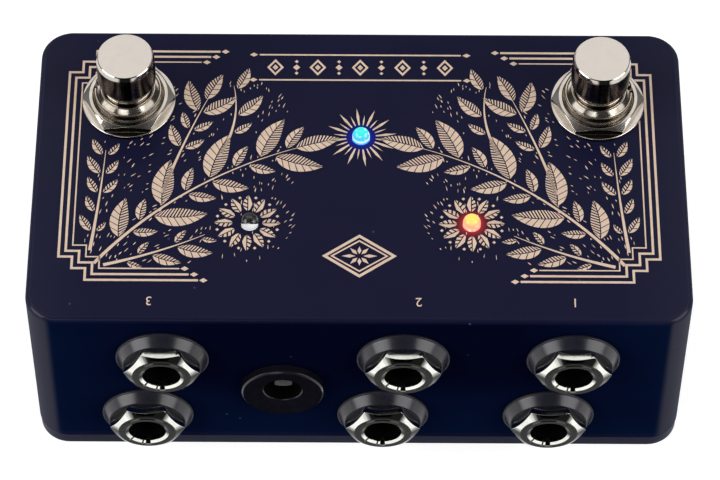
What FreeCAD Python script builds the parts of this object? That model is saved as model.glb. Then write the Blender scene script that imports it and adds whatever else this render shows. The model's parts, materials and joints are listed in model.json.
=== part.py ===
"""A signal switch pedal: die-cast box, two footswitches, three lamps, six jacks and a power inlet.

Millimetres. The origin is the middle of the base plate's underside, +Z is up, and the jacks face -Y.
"""
import FreeCAD
import Part
import math
import os

V = FreeCAD.Vector
X, Y, Z = V(1, 0, 0), V(0, 1, 0), V(0, 0, 1)

# Enclosure: length and depth along its lower edge, height from the base plate's underside, sides leaning in
CASE_LENGTH = 112.4
CASE_DEPTH = 60.6
CASE_HEIGHT = 40.4
CASE_DRAFT = 0.6
CASE_CORNER = 5.4
CASE_EDGE = 1.0
WALL = 2.3
TOP_WALL = 2.3
INNER_EDGE = 1.2
BOSS_RADIUS = 3.9
BOSS_INSET = 5.2

# Base plate, which the box stands on, its lip and its screws
PLATE = 2.8
PLATE_INSET = 0.1
PLATE_EDGE = 0.25
LIP_HEIGHT = 2.3
LIP_WALL = 1.6
LIP_GAP = 0.35
LIP_CORNER = 0.8
SCREW_RADIUS = 1.6
SCREW_LENGTH = 11.0
SCREW_HEAD_RADIUS = 3.1
SCREW_HEAD_RIM = 0.1
SCREW_SLOT = 0.9
SCREW_SLOT_REACH = 1.9
TAP_SPARE = 1.0

# Footswitches: bodies placed from the inside of the box's walls, heights above the panel with the button up.
# The pair stands a little to the right of the middle.
SWITCH_END_GAP = 5.8
SWITCH_SHIFT = 0.55
SWITCH_BACK_GAP = 6.2
SWITCH_TRAVEL = 1.5
STEM_RADIUS = 4.2
STEM_GROOVE = 0.25
GROOVE_RISE = 1.0
COLLAR_WALL = 0.7
COLLAR = 1.0
CAP_WALL = 0.8
CAP_HEIGHT = 6.5
CAP_TOP = 13.1
CAP_EDGE = 0.35
CAP_SHOULDER = 0.9
CAP_TUCK = 0.65
CAP_CROWN = 1.2
SPIGOT_RADIUS = 2.5
BUSHING_WALL = 1.62
BUSHING_TOP = 4.2
BUSHING_LIP = 0.4
BUSHING_SHOULDER = 1.7
SWITCH_NUT_WALL = 1.1
SWITCH_NUT = 1.5
SWITCH_WASHER_WALL = 2.2
SWITCH_WASHER = 0.6
LOCK_WASHER_WALL = 1.7
LOCK_WASHER = 0.4
INNER_NUT = 2.0
SWITCH_FLANGE = 1.0
SWITCH_BODY = 6.85
SWITCH_BODY_CLEAR = 3.5
SWITCH_BODY_FLOOR = 1.25
SWITCH_SIDE_WALL = 2.2
SWITCH_FRONT_WALL = 1.7
SWITCH_CORNER = 1.0
CONTACT_DISC_STEP = 0.5
CONTACT_DISC = 0.35
TERMINAL_THICK = 0.8
TERMINAL_WIDE = 1.6
TERMINAL_TAIL = 1.0
SPRING_WIRE = 0.6
SPRING_TURNS = 3.5
SPRING_SPACE = 1.1

# Indicator lamps: the outer two stand back from the front wall, the centre one behind the jacks
LAMP_RADIUS = 1.5
LAMP_HEIGHT = 5.3
LAMP_PROUD = 2.0
LAMP_RIM_STEP = 0.4
LAMP_RIM = 1.0
LAMP_X = 18.8
LAMP_SHIFT = 0.2
LAMP_FRONT_INSET = 19.95
LAMP_BEHIND_JACKS = 11.0
LAMP_HOLE_GAP = 0.1
LAMP_LEG = 0.5
LAMP_LEG_PITCH = 2.54
SPACER_WALL = 0.7
SPACER_LEDGE = 0.1

# Jacks: one upper and one lower jack at each of three places, the lower one set to the left
JACK_LEFT_INSET = 23.0
JACK_RIGHT_INSET = 20.0
JACK_MIDDLE_X = 7.5
JACK_STAGGER = 3.3
JACK_PITCH = 18.2
JACK_BORE = 3.22
JACK_MOUTH_BEVEL = 0.38
SLEEVE_WALL = 1.18
SLEEVE_IN = 6.0
JACK_NUT_WALL = 1.2
JACK_NUT = 2.0
JACK_NUT_FACE = 0.05
BEZEL = 2.1
BEZEL_RIM = 0.4
BEZEL_BORDER = 0.15
BEZEL_CONE = 1.25
JACK_LENGTH = 24.0
JACK_FLOOR = 1.5
JACK_WELL_STEP = 0.5
JACK_SIDE_WALL = 2.8
JACK_FAR_WALL = 0.6
JACK_CHAMFER = 0.8
LEAF = 0.35
LEAF_WIDE = 3.0
LEAF_PRESS = 0.4
LEAF_BOW = 0.9
LEAF_TIP = 0.6
LEAF_DEPTHS = (11.0, 20.5)

# Power inlet: its face is dished towards the socket, and a contact strip lies in the socket's lower wall
INLET_X = -13.0
INLET_RISE = -0.15
INLET_FLANGE = 1.45
INLET_BEVEL = 0.25
INLET_PROUD = 1.65
INLET_DISH = 0.75
INLET_BARREL = 2.35
INLET_LENGTH = 12.0
INLET_BORE = 3.25
INLET_BORE_DEPTH = 9.5
INLET_PIN_RADIUS = 1.0
INLET_PIN_SET_BACK = 3.0
INLET_PIN_STEP = 0.2
INLET_PIN_TIP = 0.3
INLET_PIN_END = 1.0
INLET_NUT_WALL = 1.4
INLET_NUT = 2.0
INLET_LUG_LENGTH = 5.0
INLET_LUG_ROOT = 6.3
INLET_LUG_WIDE = 2.2
INLET_LUG_THICK = 0.4
INLET_STRIP_WIDE = 3.4
INLET_STRIP_SET_BACK = 3.6
LEAD_RADIUS = 0.6
LEAD_START = 2.0
LEAD_BEND = 2.4

# Circuit board between the two rows of jacks, and what stands on it
BOARD = 1.6
BOARD_END_GAP = 0.6
BOARD_FRONT_GAP = 0.7
BOARD_REAR_GAP = 1.2
RELAY = V(14.0, 9.0, 5.0)
RELAY_SPACE = 0.7
RELAY_BACK = 1.0
CONTROLLER_X = -9.0
CONTROLLER_LENGTH = 9.0
AMPLIFIER_LENGTH = 5.0
CHIP_SPACE = 1.4
CHIP_DEPTH = 4.0
CHIP_HEIGHT = 1.6
CAPACITOR_SPACE = 2.2
CAPACITOR_RADIUS = 3.15
CAPACITOR_HEIGHT = 7.0
PARTS_BEHIND_JACKS = 4.6

# Rise of a nut's chamfer for each millimetre inwards
NUT_CHAMFER = math.tan(math.radians(30))

# Clearances: a loose hole, a blade or wire in its hole, a sliding stem, a thread, a seat, and beside a wall
HOLE_GAP = 0.2
PIN_GAP = 0.2
SLIDE_GAP = 0.08
THREAD_GAP = 0.05
SEAT_GAP = 0.02
NEAR = 0.3

# Sizes that follow from those above
LEAN = math.tan(math.radians(CASE_DRAFT))
BACK_INSIDE = CASE_DEPTH / 2 - WALL
THREAD_RADIUS = STEM_RADIUS + SLIDE_GAP + BUSHING_WALL
SWITCH_NUT_FLATS = 2 * (THREAD_RADIUS + SWITCH_NUT_WALL)
CAP_RADIUS = STEM_RADIUS + CAP_WALL
COLLAR_RADIUS = STEM_RADIUS + COLLAR_WALL
WELL_RADIUS = COLLAR_RADIUS + 2 * PIN_GAP
SWITCH_WIDTH = 2 * (WELL_RADIUS + SWITCH_SIDE_WALL)
SWITCH_DEPTH = 2 * (WELL_RADIUS + SWITCH_FRONT_WALL)
CONTACT_DISC_RADIUS = COLLAR_RADIUS - CONTACT_DISC_STEP
TERMINAL_REACH = CONTACT_DISC_RADIUS - CONTACT_DISC_STEP
SPRING_RADIUS = TERMINAL_REACH - (TERMINAL_THICK + SPRING_WIRE) / 2 - SPRING_SPACE
LAMP_RIM_RADIUS = LAMP_RADIUS + LAMP_RIM_STEP
SPACER_BORE = LAMP_RIM_RADIUS - SPACER_LEDGE
SPACER_RADIUS = SPACER_BORE + SPACER_WALL
JACK_THREAD_RADIUS = JACK_BORE + SLEEVE_WALL
JACK_NUT_FLATS = 2 * (JACK_THREAD_RADIUS + JACK_NUT_WALL)
JACK_NOSE = BEZEL + JACK_NUT
BEZEL_FRONT_RADIUS = JACK_NUT_FLATS / math.sqrt(3) + BEZEL_BORDER
BEZEL_RADIUS = BEZEL_FRONT_RADIUS + BEZEL_CONE
JACK_WELL_RADIUS = JACK_THREAD_RADIUS + JACK_WELL_STEP
JACK_WIDTH = 2 * (JACK_WELL_RADIUS + JACK_SIDE_WALL)
JACK_FAR_SIDE = JACK_WELL_RADIUS + JACK_FAR_WALL
INLET_RADIUS = INLET_BORE + INLET_BARREL
INLET_FLANGE_RADIUS = INLET_RADIUS + INLET_FLANGE
INLET_NUT_FLATS = 2 * (INLET_RADIUS + INLET_NUT_WALL)
INLET_LUG_REACH = INLET_BORE + INLET_LUG_THICK / 2

# Places that follow from those sizes
SEAM = PLATE
PANEL = CASE_HEIGHT
CEILING = PANEL - TOP_WALL
JACK_LOWER_Z = SEAM + LIP_HEIGHT + NEAR + JACK_FAR_SIDE
JACK_UPPER_Z = JACK_LOWER_Z + JACK_PITCH
BOARD_TOP = (JACK_UPPER_Z + JACK_LOWER_Z + BOARD) / 2
BOARD_BOTTOM = BOARD_TOP - BOARD
BOARD_MIDDLE = BOARD_TOP - BOARD / 2
SWITCH_X = CASE_LENGTH / 2 - WALL - SWITCH_END_GAP - SWITCH_WIDTH / 2
SWITCH_Y = BACK_INSIDE - SWITCH_BACK_GAP - SWITCH_DEPTH / 2
SWITCH_FLOOR = BOARD_TOP + SWITCH_BODY_CLEAR
SWITCH_COVER = SWITCH_FLOOR + SWITCH_BODY
SPRING_SEAT = SWITCH_FLOOR + SWITCH_BODY_FLOOR
COLLAR_TOP = SWITCH_COVER - PIN_GAP / 2
COLLAR_BOTTOM = COLLAR_TOP - COLLAR
DISC_BOTTOM = COLLAR_BOTTOM - CONTACT_DISC
LAMP_BASE = PANEL + LAMP_PROUD - LAMP_HEIGHT
INLET_Z = BOARD_MIDDLE + INLET_RISE
BOSS_PLACES = [
    (side * (CASE_LENGTH / 2 - BOSS_INSET), end * (CASE_DEPTH / 2 - BOSS_INSET))
    for side in (-1, 1)
    for end in (-1, 1)
]


def front_at(z):
    """The front wall's outer face, at a height."""
    return -CASE_DEPTH / 2 + (z - SEAM) * LEAN


def jack_front():
    """The plane inside the front wall that every jack body stands against."""
    return front_at(JACK_LOWER_Z) + WALL + NEAR


def jack_places():
    """Each jack's name with its place on the front wall."""
    columns = {
        "left": JACK_LEFT_INSET - CASE_LENGTH / 2,
        "middle": JACK_MIDDLE_X,
        "right": CASE_LENGTH / 2 - JACK_RIGHT_INSET,
    }
    places = {}
    for name, x in columns.items():
        places[name + "_upper"] = (x, JACK_UPPER_Z)
        places[name + "_lower"] = (x - JACK_STAGGER, JACK_LOWER_Z)
    return places


def lamp_places():
    """Each lamp's name with its place on the panel."""
    front = LAMP_FRONT_INSET - CASE_DEPTH / 2
    centre = jack_front() + JACK_LENGTH + LAMP_BEHIND_JACKS
    return {
        "left": (LAMP_SHIFT - LAMP_X, front),
        "centre": (LAMP_SHIFT, centre),
        "right": (LAMP_SHIFT + LAMP_X, front),
    }


def switch_x(side):
    return SWITCH_SHIFT + side * SWITCH_X


def revolved(profile, centre, direction):
    """A solid of revolution from (radius, distance along the axis) points."""
    side = X if abs(direction.x) < 0.5 else Y
    points = [centre + side * radius + direction * along for radius, along in profile]
    face = Part.Face(Part.makePolygon(points + points[:1]))
    return face.revolve(centre, direction, 360)


def cylinder(radius, low, high, x=0.0, y=0.0):
    return Part.makeCylinder(radius, high - low, V(x, y, low))


def block(low, high):
    size = high - low
    return Part.makeBox(size.x, size.y, size.z, low)


def upright_edges(shape):
    return [e for e in shape.Edges if abs(e.Vertexes[0].Z - e.Vertexes[-1].Z) > 0.5]


def edges_at(shape, z):
    return [e for e in shape.Edges if all(abs(v.Z - z) < 1e-4 for v in e.Vertexes)]


def prism(length, depth, low, high, corner):
    """An upright block round the origin, with rounded corners."""
    body = block(V(-length / 2, -depth / 2, low), V(length / 2, depth / 2, high))
    return body.makeFillet(corner, upright_edges(body))


def drafted(length, depth, low, high, corner):
    """A block whose sides lean in, with its length and depth taken at the casting's lower edge."""
    wedges = []
    for half, reach, along in ((length / 2, depth, Y), (depth / 2, length, X)):
        across = Y if along is X else X
        wide = half - (low - SEAM) * LEAN
        narrow = half - (high - SEAM) * LEAN
        corners = [(-wide, low), (wide, low), (narrow, high), (-narrow, high)]
        points = [across * side + Z * z - along * reach for side, z in corners]
        face = Part.Face(Part.makePolygon(points + points[:1]))
        wedges.append(face.extrude(along * (2 * reach)))
    body = wedges[0].common(wedges[1])
    return body.makeFillet(corner, upright_edges(body))


def hexagon(flats, low, high, centre, direction):
    """A six-sided prism along an axis, with corners pointing to the left and right."""
    reach = flats / math.sqrt(3)
    up = Y if abs(direction.z) > 0.5 else Z
    points = []
    for k in range(7):
        turn = math.radians(60 * k)
        points.append(centre + X * (reach * math.cos(turn)) + up * (reach * math.sin(turn)) + direction * low)
    return Part.Face(Part.makePolygon(points)).extrude(direction * (high - low))


def biarc(start, start_way, end, end_way):
    """Two arcs that leave start and reach end along the given unit directions."""
    chord = end - start
    ways = start_way + end_way
    spread = 2 * (1 - start_way.dot(end_way))
    along = chord.dot(ways)
    reach = (math.sqrt(along * along + spread * chord.dot(chord)) - along) / spread
    bend_in = start + start_way * reach
    bend_out = end - end_way * reach
    middle = (bend_in + bend_out) * 0.5
    arcs = []
    for a, bend, b in ((start, bend_in, middle), (middle, bend_out, end)):
        mid_chord = (a + b) * 0.5
        share = (b - a).Length / 2 / reach
        top = mid_chord + (bend - mid_chord) * (share / (1 + share))
        arcs.append(Part.Arc(a, top, b).toShape())
    return arcs


def coil(radius, wire, turns, low, high):
    """A round-wire spring standing on the Z axis, wound as half turns of two arcs each."""
    bottom = low + wire / 2
    rise = (high - low - wire) / turns
    steps = int(round(turns * 2))

    def point(k):
        turn = math.pi * k
        return V(radius * math.cos(turn), radius * math.sin(turn), bottom + rise * k / 2)

    def way(k):
        turn = math.pi * k
        slope = V(-radius * math.sin(turn), radius * math.cos(turn), rise / (2 * math.pi))
        return slope.normalize()

    arcs = []
    for k in range(steps):
        arcs += biarc(point(k), way(k), point(k + 1), way(k + 1))
    section = Part.Wire([Part.Circle(point(0), way(0), wire / 2).toShape()])
    body = Part.Wire(arcs).makePipeShell([section], True, False)
    print("spring: least gap between its turns", round(rise - wire, 3), "mm")
    return body


def enclosure():
    """The die-cast box, open below, with a boss in each corner for the base plate's screws."""
    body = drafted(CASE_LENGTH, CASE_DEPTH, SEAM, PANEL, CASE_CORNER)
    body = body.makeFillet(CASE_EDGE, edges_at(body, PANEL))
    inside_corner = CASE_CORNER - WALL
    cavity = drafted(CASE_LENGTH - 2 * WALL, CASE_DEPTH - 2 * WALL, SEAM - 1, CEILING, inside_corner)
    cavity = cavity.makeFillet(INNER_EDGE, edges_at(cavity, CEILING))
    for x, y in BOSS_PLACES:
        cavity = cavity.cut(cylinder(BOSS_RADIUS, SEAM - 2, PANEL, x, y))
    body = body.cut(cavity)
    holes = []
    for x, y in BOSS_PLACES:
        holes.append(cylinder(SCREW_RADIUS + THREAD_GAP, SEAM - 1, SCREW_LENGTH + TAP_SPARE, x, y))
    for side in (-1, 1):
        holes.append(cylinder(THREAD_RADIUS + HOLE_GAP, CEILING - 1, PANEL + 1, switch_x(side), SWITCH_Y))
    for x, y in lamp_places().values():
        holes.append(cylinder(LAMP_RADIUS + LAMP_HOLE_GAP, CEILING - 1, PANEL + 1, x, y))
    wall_holes = [(x, z, JACK_THREAD_RADIUS) for x, z in jack_places().values()]
    wall_holes.append((INLET_X, INLET_Z, INLET_RADIUS))
    for x, z, radius in wall_holes:
        start = V(x, front_at(z) + WALL + 1, z)
        holes.append(Part.makeCylinder(radius + HOLE_GAP, WALL + 2, start, -Y))
    return body.cut(holes)


def base_plate():
    """The flat lid below, with a low lip that locates it inside the box."""
    length = CASE_LENGTH - 2 * PLATE_INSET
    depth = CASE_DEPTH - 2 * PLATE_INSET
    plate = prism(length, depth, 0, SEAM, CASE_CORNER - PLATE_INSET)
    plate = plate.makeFillet(PLATE_EDGE, edges_at(plate, 0))
    lip_top = SEAM + LIP_HEIGHT
    outer = WALL + LIP_GAP
    inner = outer + LIP_WALL
    lip = prism(CASE_LENGTH - 2 * outer, CASE_DEPTH - 2 * outer, SEAM, lip_top, CASE_CORNER - outer)
    lip = lip.cut(prism(CASE_LENGTH - 2 * inner, CASE_DEPTH - 2 * inner, SEAM, lip_top, LIP_CORNER))
    for x, y in BOSS_PLACES:
        lip = lip.cut(cylinder(BOSS_RADIUS + NEAR, SEAM, lip_top, x, y))
    plate = plate.fuse(lip).removeSplitter()
    for x, y in BOSS_PLACES:
        plate = plate.cut(screw_shape(THREAD_GAP, -1, PLATE + 1).translated(V(x, y, 0)))
    return plate


def screw_shape(gap, low, high):
    """A countersunk screw about the Z axis, its head flush with zero, or with a gap, the hole for it."""
    head, shank = SCREW_HEAD_RADIUS + gap, SCREW_RADIUS + gap
    rim = SCREW_HEAD_RIM
    profile = [(0, low), (head, low), (head, rim), (shank, rim + head - shank), (shank, high), (0, high)]
    return revolved(profile, V(0, 0, 0), Z)


def base_screws():
    """Four countersunk screws, with cross slots in their heads."""
    screw = screw_shape(0, 0, SCREW_LENGTH)
    half = SCREW_SLOT / 2
    for size in (V(SCREW_SLOT_REACH, half, SCREW_SLOT), V(half, SCREW_SLOT_REACH, SCREW_SLOT)):
        screw = screw.cut(block(V(-size.x, -size.y, -1), size))
    return Part.makeCompound([screw.translated(V(x, y, 0)) for x, y in BOSS_PLACES])


def footswitch_cap():
    """The pressed button: flat top, steep shoulder, and a tucked lower edge over a blind hole for the stem."""
    top = PANEL + CAP_TOP
    bottom = top - CAP_HEIGHT
    profile = [
        (0, top),
        (CAP_RADIUS - CAP_EDGE, top),
        (CAP_RADIUS, top - CAP_SHOULDER),
        (CAP_RADIUS, bottom + 2 * CAP_TUCK),
        (CAP_RADIUS - CAP_TUCK / 3, bottom + CAP_TUCK / 2),
        (CAP_RADIUS - CAP_TUCK, bottom),
        (SPIGOT_RADIUS + SEAT_GAP, bottom),
        (SPIGOT_RADIUS + SEAT_GAP, top - CAP_CROWN),
        (0, top - CAP_CROWN),
    ]
    return revolved(profile, V(0, 0, 0), Z)


def footswitch_stem():
    """The stem that slides in the bushing, with a grooved neck and a collar that stops it from below."""
    neck_top = PANEL + CAP_TOP - CAP_HEIGHT
    spigot_top = PANEL + CAP_TOP - CAP_CROWN - SEAT_GAP
    groove = PANEL + BUSHING_TOP + GROOVE_RISE
    profile = [
        (0, spigot_top),
        (SPIGOT_RADIUS, spigot_top),
        (SPIGOT_RADIUS, neck_top),
        (STEM_RADIUS, neck_top),
        (STEM_RADIUS, groove + 2 * STEM_GROOVE),
        (STEM_RADIUS - STEM_GROOVE, groove + STEM_GROOVE),
        (STEM_RADIUS, groove),
        (STEM_RADIUS, COLLAR_TOP),
        (COLLAR_RADIUS, COLLAR_TOP),
        (COLLAR_RADIUS, COLLAR_BOTTOM),
        (0, COLLAR_BOTTOM),
    ]
    return revolved(profile, V(0, 0, 0), Z)


def footswitch_contact():
    """The disc under the stem's collar that bridges the two terminals when the button is down."""
    return cylinder(CONTACT_DISC_RADIUS, DISC_BOTTOM, COLLAR_BOTTOM)


def footswitch_spring():
    return coil(SPRING_RADIUS, SPRING_WIRE, SPRING_TURNS, SPRING_SEAT, DISC_BOTTOM)


def footswitch_bushing():
    """The threaded bushing with its rounded nose, on the square plate that closes the switch body."""
    top = PANEL + BUSHING_TOP
    bore = STEM_RADIUS + SLIDE_GAP
    lip = bore + BUSHING_LIP
    rounding = []
    for k in range(4):
        turn = math.radians(30 * k)
        rounding.append((
            lip + (THREAD_RADIUS - lip) * math.sin(turn),
            top - BUSHING_SHOULDER * (1 - math.cos(turn)),
        ))
    profile = [(bore, SWITCH_COVER), (bore, top)] + rounding
    profile += [(THREAD_RADIUS, SWITCH_COVER + SWITCH_FLANGE / 2), (THREAD_RADIUS, SWITCH_COVER)]
    tube = revolved(profile, V(0, 0, 0), Z)
    plate = prism(SWITCH_WIDTH, SWITCH_DEPTH, SWITCH_COVER, SWITCH_COVER + SWITCH_FLANGE, SWITCH_CORNER)
    plate = plate.cut(cylinder(bore, SWITCH_COVER - 1, SWITCH_COVER + 2))
    return plate.fuse(tube).removeSplitter()


def hex_nut(flats, low, high, bore):
    """A flat nut on the Z axis, its corners chamfered on the upper side."""
    nut = hexagon(flats, low, high, V(0, 0, 0), Z)
    corner = flats / math.sqrt(3)
    face = flats / 2
    drop = (corner - face) * NUT_CHAMFER
    profile = [(0, high), (face, high), (corner, high - drop), (corner, low), (0, low)]
    nut = nut.common(revolved(profile, V(0, 0, 0), Z))
    return nut.cut(cylinder(bore, low - 1, high + 1))


def footswitch_nuts():
    """The chamfered nut on the panel and the nut that backs it inside."""
    low = PANEL + SWITCH_WASHER
    bore = THREAD_RADIUS + THREAD_GAP
    outer = hex_nut(SWITCH_NUT_FLATS, low, low + SWITCH_NUT, bore)
    high = CEILING - LOCK_WASHER
    inner = hex_nut(SWITCH_NUT_FLATS, high - INNER_NUT, high, bore)
    return Part.makeCompound([outer, inner])


def footswitch_washer():
    ring = cylinder(THREAD_RADIUS + SWITCH_WASHER_WALL, PANEL, PANEL + SWITCH_WASHER)
    return ring.cut(cylinder(THREAD_RADIUS + HOLE_GAP, PANEL - 1, PANEL + 1))


def footswitch_lock_washers():
    low = CEILING - LOCK_WASHER
    ring = cylinder(THREAD_RADIUS + LOCK_WASHER_WALL, low, CEILING)
    ring = ring.cut(cylinder(THREAD_RADIUS + HOLE_GAP, low - 1, CEILING + 1))
    return Part.makeCompound([at_switch(ring, side) for side in (-1, 1)])


def footswitch_housing():
    """The moulded body under the cover plate, with a round well and two slots in its floor."""
    body = prism(SWITCH_WIDTH, SWITCH_DEPTH, SWITCH_FLOOR, SWITCH_COVER, SWITCH_CORNER)
    body = body.cut(cylinder(WELL_RADIUS, SPRING_SEAT, SWITCH_COVER + 1))
    for side in (-1, 1):
        body = body.cut(terminal(side, PIN_GAP / 2, SWITCH_FLOOR - 1, SWITCH_COVER))
    return body


def terminal(side, gap, low, high):
    """One upright blade beside the spring, or with a gap, the slot that it passes through."""
    half_thick = TERMINAL_THICK / 2 + gap
    half_wide = TERMINAL_WIDE / 2 + gap
    x = side * TERMINAL_REACH
    return block(V(x - half_thick, -half_wide, low), V(x + half_thick, half_wide, high))


def footswitch_terminals():
    top = DISC_BOTTOM - SWITCH_TRAVEL - THREAD_GAP
    blades = [terminal(side, 0, BOARD_BOTTOM - TERMINAL_TAIL, top) for side in (-1, 1)]
    return Part.makeCompound([at_switch(blade, side) for blade in blades for side in (-1, 1)])


def at_switch(shape, side):
    return shape.translated(V(switch_x(side), SWITCH_Y, 0))


def lamp_lens():
    """A clear round-nosed lamp that stands a little out of the panel."""
    shoulder = PANEL + LAMP_PROUD - LAMP_RADIUS
    body = cylinder(LAMP_RADIUS, LAMP_BASE, shoulder)
    body = body.fuse(Part.makeSphere(LAMP_RADIUS, V(0, 0, shoulder)))
    return body.fuse(cylinder(LAMP_RIM_RADIUS, LAMP_BASE, LAMP_BASE + LAMP_RIM)).removeSplitter()


def at_lamps(shape):
    return Part.makeCompound([shape.translated(V(x, y, 0)) for x, y in lamp_places().values()])


def lamp_spacer():
    """The tube that holds a lamp up from the board to the panel."""
    tube = cylinder(SPACER_RADIUS, BOARD_TOP, LAMP_BASE)
    return tube.cut(cylinder(SPACER_BORE, BOARD_TOP - 1, LAMP_BASE + 1))


def lamp_legs():
    half = LAMP_LEG / 2
    legs = []
    for side in (-1, 1):
        x = side * LAMP_LEG_PITCH / 2
        legs.append(block(V(x - half, -half, BOARD_BOTTOM - TERMINAL_TAIL), V(x + half, half, LAMP_BASE)))
    return Part.makeCompound(legs)


def jack_base(z):
    """Where a jack's bezel meets the leaning wall, which is the wall's proudest point under it."""
    return front_at(z - BEZEL_RADIUS)


def jack_bezel(x, z):
    """The bevelled ring between the wall and the nut."""
    hole = JACK_THREAD_RADIUS + HOLE_GAP
    profile = [(hole, 0), (BEZEL_RADIUS, 0), (BEZEL_RADIUS, BEZEL_RIM)]
    profile += [(BEZEL_RADIUS - BEZEL_RIM / 2, BEZEL_RIM), (BEZEL_FRONT_RADIUS, BEZEL), (hole, BEZEL)]
    return revolved(profile, V(x, jack_base(z), z), -Y)


def jack_nut(x, z):
    """A hexagon whose front is turned to a cone, so that each flat ends in a curve."""
    centre = V(x, jack_base(z), z)
    corner = JACK_NUT_FLATS / math.sqrt(3)
    crown = JACK_THREAD_RADIUS + JACK_NUT_FACE
    drop = (corner - crown) * NUT_CHAMFER
    profile = [(0, BEZEL), (corner, BEZEL), (corner, JACK_NOSE - drop), (crown, JACK_NOSE), (0, JACK_NOSE)]
    nut = hexagon(JACK_NUT_FLATS, BEZEL, JACK_NOSE, centre, -Y)
    nut = nut.common(revolved(profile, centre, -Y))
    bore = Part.makeCylinder(JACK_THREAD_RADIUS + THREAD_GAP, JACK_NOSE + 1, centre, -Y)
    return nut.cut(bore)


def jack_sleeve(x, z):
    """The plated bush that the plug enters, with a bevelled mouth."""
    centre = V(x, jack_base(z), z)
    inner_end = -(WALL + NEAR + SLEEVE_IN)
    profile = [
        (JACK_BORE, inner_end),
        (JACK_BORE, JACK_NOSE - JACK_MOUTH_BEVEL),
        (JACK_BORE + JACK_MOUTH_BEVEL, JACK_NOSE),
        (JACK_THREAD_RADIUS, JACK_NOSE),
        (JACK_THREAD_RADIUS, inner_end),
    ]
    return revolved(profile, centre, -Y)


def jack_body(x, z):
    """The moulded jack, from its front against the wall to its closed rear, round a well for the plug."""
    towards_board = -1 if z > BOARD_TOP else 1
    board_face = BOARD_TOP if z > BOARD_TOP else BOARD_BOTTOM
    front = jack_front()
    rear = front + JACK_LENGTH
    far = z - towards_board * JACK_FAR_SIDE
    low, high = min(board_face, far), max(board_face, far)
    body = block(V(x - JACK_WIDTH / 2, front, low), V(x + JACK_WIDTH / 2, rear, high))
    along = [e for e in body.Edges if abs(e.Vertexes[0].Y - e.Vertexes[-1].Y) > 1]
    body = body.makeChamfer(JACK_CHAMFER, [e for e in along if abs(e.Vertexes[0].Z - far) < 0.1])
    neck = Part.makeCylinder(JACK_THREAD_RADIUS + THREAD_GAP, SLEEVE_IN + 2, V(x, front - 1, z), Y)
    well_start = jack_base(z) + WALL + NEAR + SLEEVE_IN
    well = Part.makeCylinder(JACK_WELL_RADIUS, rear - JACK_FLOOR - well_start, V(x, well_start, z), Y)
    body = body.cut([neck, well])
    for slot in jack_slots(x, z):
        body = body.cut(slot)
    return body


def jack_slots(x, z):
    """The two openings towards the board that the contact springs stand in."""
    towards_board = -1 if z > BOARD_TOP else 1
    board_face = BOARD_TOP if z > BOARD_TOP else BOARD_BOTTOM
    half = LEAF_WIDE / 2 + PIN_GAP
    reach = LEAF_BOW + LEAF + PIN_GAP
    slots = []
    for y in leaf_places():
        low, high = sorted((z, board_face + towards_board))
        slots.append(block(V(x - half, y - reach, low), V(x + half, y + reach, high)))
    return slots


def leaf_places():
    """Where the ring and tip contact springs stand along a jack."""
    return [jack_front() + depth for depth in LEAF_DEPTHS]


def jack_contacts(x, z):
    """Two bent leaf springs, each standing in the board and leaning into the plug's path."""
    towards_board = -1 if z > BOARD_TOP else 1
    leaves = []
    for y in leaf_places():
        foot = BOARD_MIDDLE - z
        touch = towards_board * (JACK_BORE - LEAF_PRESS)
        bend = towards_board * JACK_FAR_SIDE
        route = [
            (0, foot),
            (0, bend),
            (-LEAF_BOW, (bend + touch) / 2),
            (0, touch),
            (LEAF_TIP, touch + towards_board * LEAF_TIP),
        ]
        leaves.append(leaf([V(x, y + dy, z + dz) for dy, dz in route]))
    return leaves


def leaf(route):
    """A strip of constant thickness and width that follows a bent line in the YZ plane."""
    half = LEAF / 2
    ways = [(b - a).normalize() for a, b in zip(route, route[1:])]
    sides = [V(0, -way.z, way.y) for way in ways]
    left, right = [], []
    for k, point in enumerate(route):
        before, after = sides[max(k - 1, 0)], sides[min(k, len(sides) - 1)]
        mitre = (before + after).normalize()
        offset = mitre * (half / mitre.dot(after))
        left.append(point + offset)
        right.append(point - offset)
    outline = left + right[::-1]
    face = Part.Face(Part.makePolygon(outline + outline[:1]))
    return face.extrude(X * LEAF_WIDE).translated(X * (-LEAF_WIDE / 2))


def inlet_base():
    return front_at(INLET_Z - INLET_FLANGE_RADIUS)


def inlet_housing():
    """The round moulded inlet: a dished flange, a barrel through the wall and a socket down its middle."""
    centre = V(INLET_X, inlet_base(), INLET_Z)
    rear = -(WALL + INLET_LENGTH)
    front = INLET_PROUD
    floor = front - INLET_BORE_DEPTH
    bevel = INLET_BEVEL
    profile = [
        (0, rear),
        (INLET_RADIUS, rear),
        (INLET_RADIUS, 0),
        (INLET_FLANGE_RADIUS, 0),
        (INLET_FLANGE_RADIUS, front - bevel),
        (INLET_FLANGE_RADIUS - bevel, front),
        (INLET_BORE + bevel, front - INLET_DISH),
        (INLET_BORE, front - INLET_DISH - bevel),
        (INLET_BORE, floor),
        (0, floor),
    ]
    body = revolved(profile, centre, -Y)
    root = INLET_PIN_RADIUS - INLET_PIN_STEP + SEAT_GAP
    body = body.cut(Part.makeCylinder(root, INLET_LENGTH * 2, centre, Y))
    wall_rise = INLET_LUG_REACH - math.sqrt(INLET_BORE ** 2 - (INLET_STRIP_WIDE / 2) ** 2)
    return body.cut([inlet_lug(-1), inlet_lug(1), inlet_strip(wall_rise)])


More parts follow.
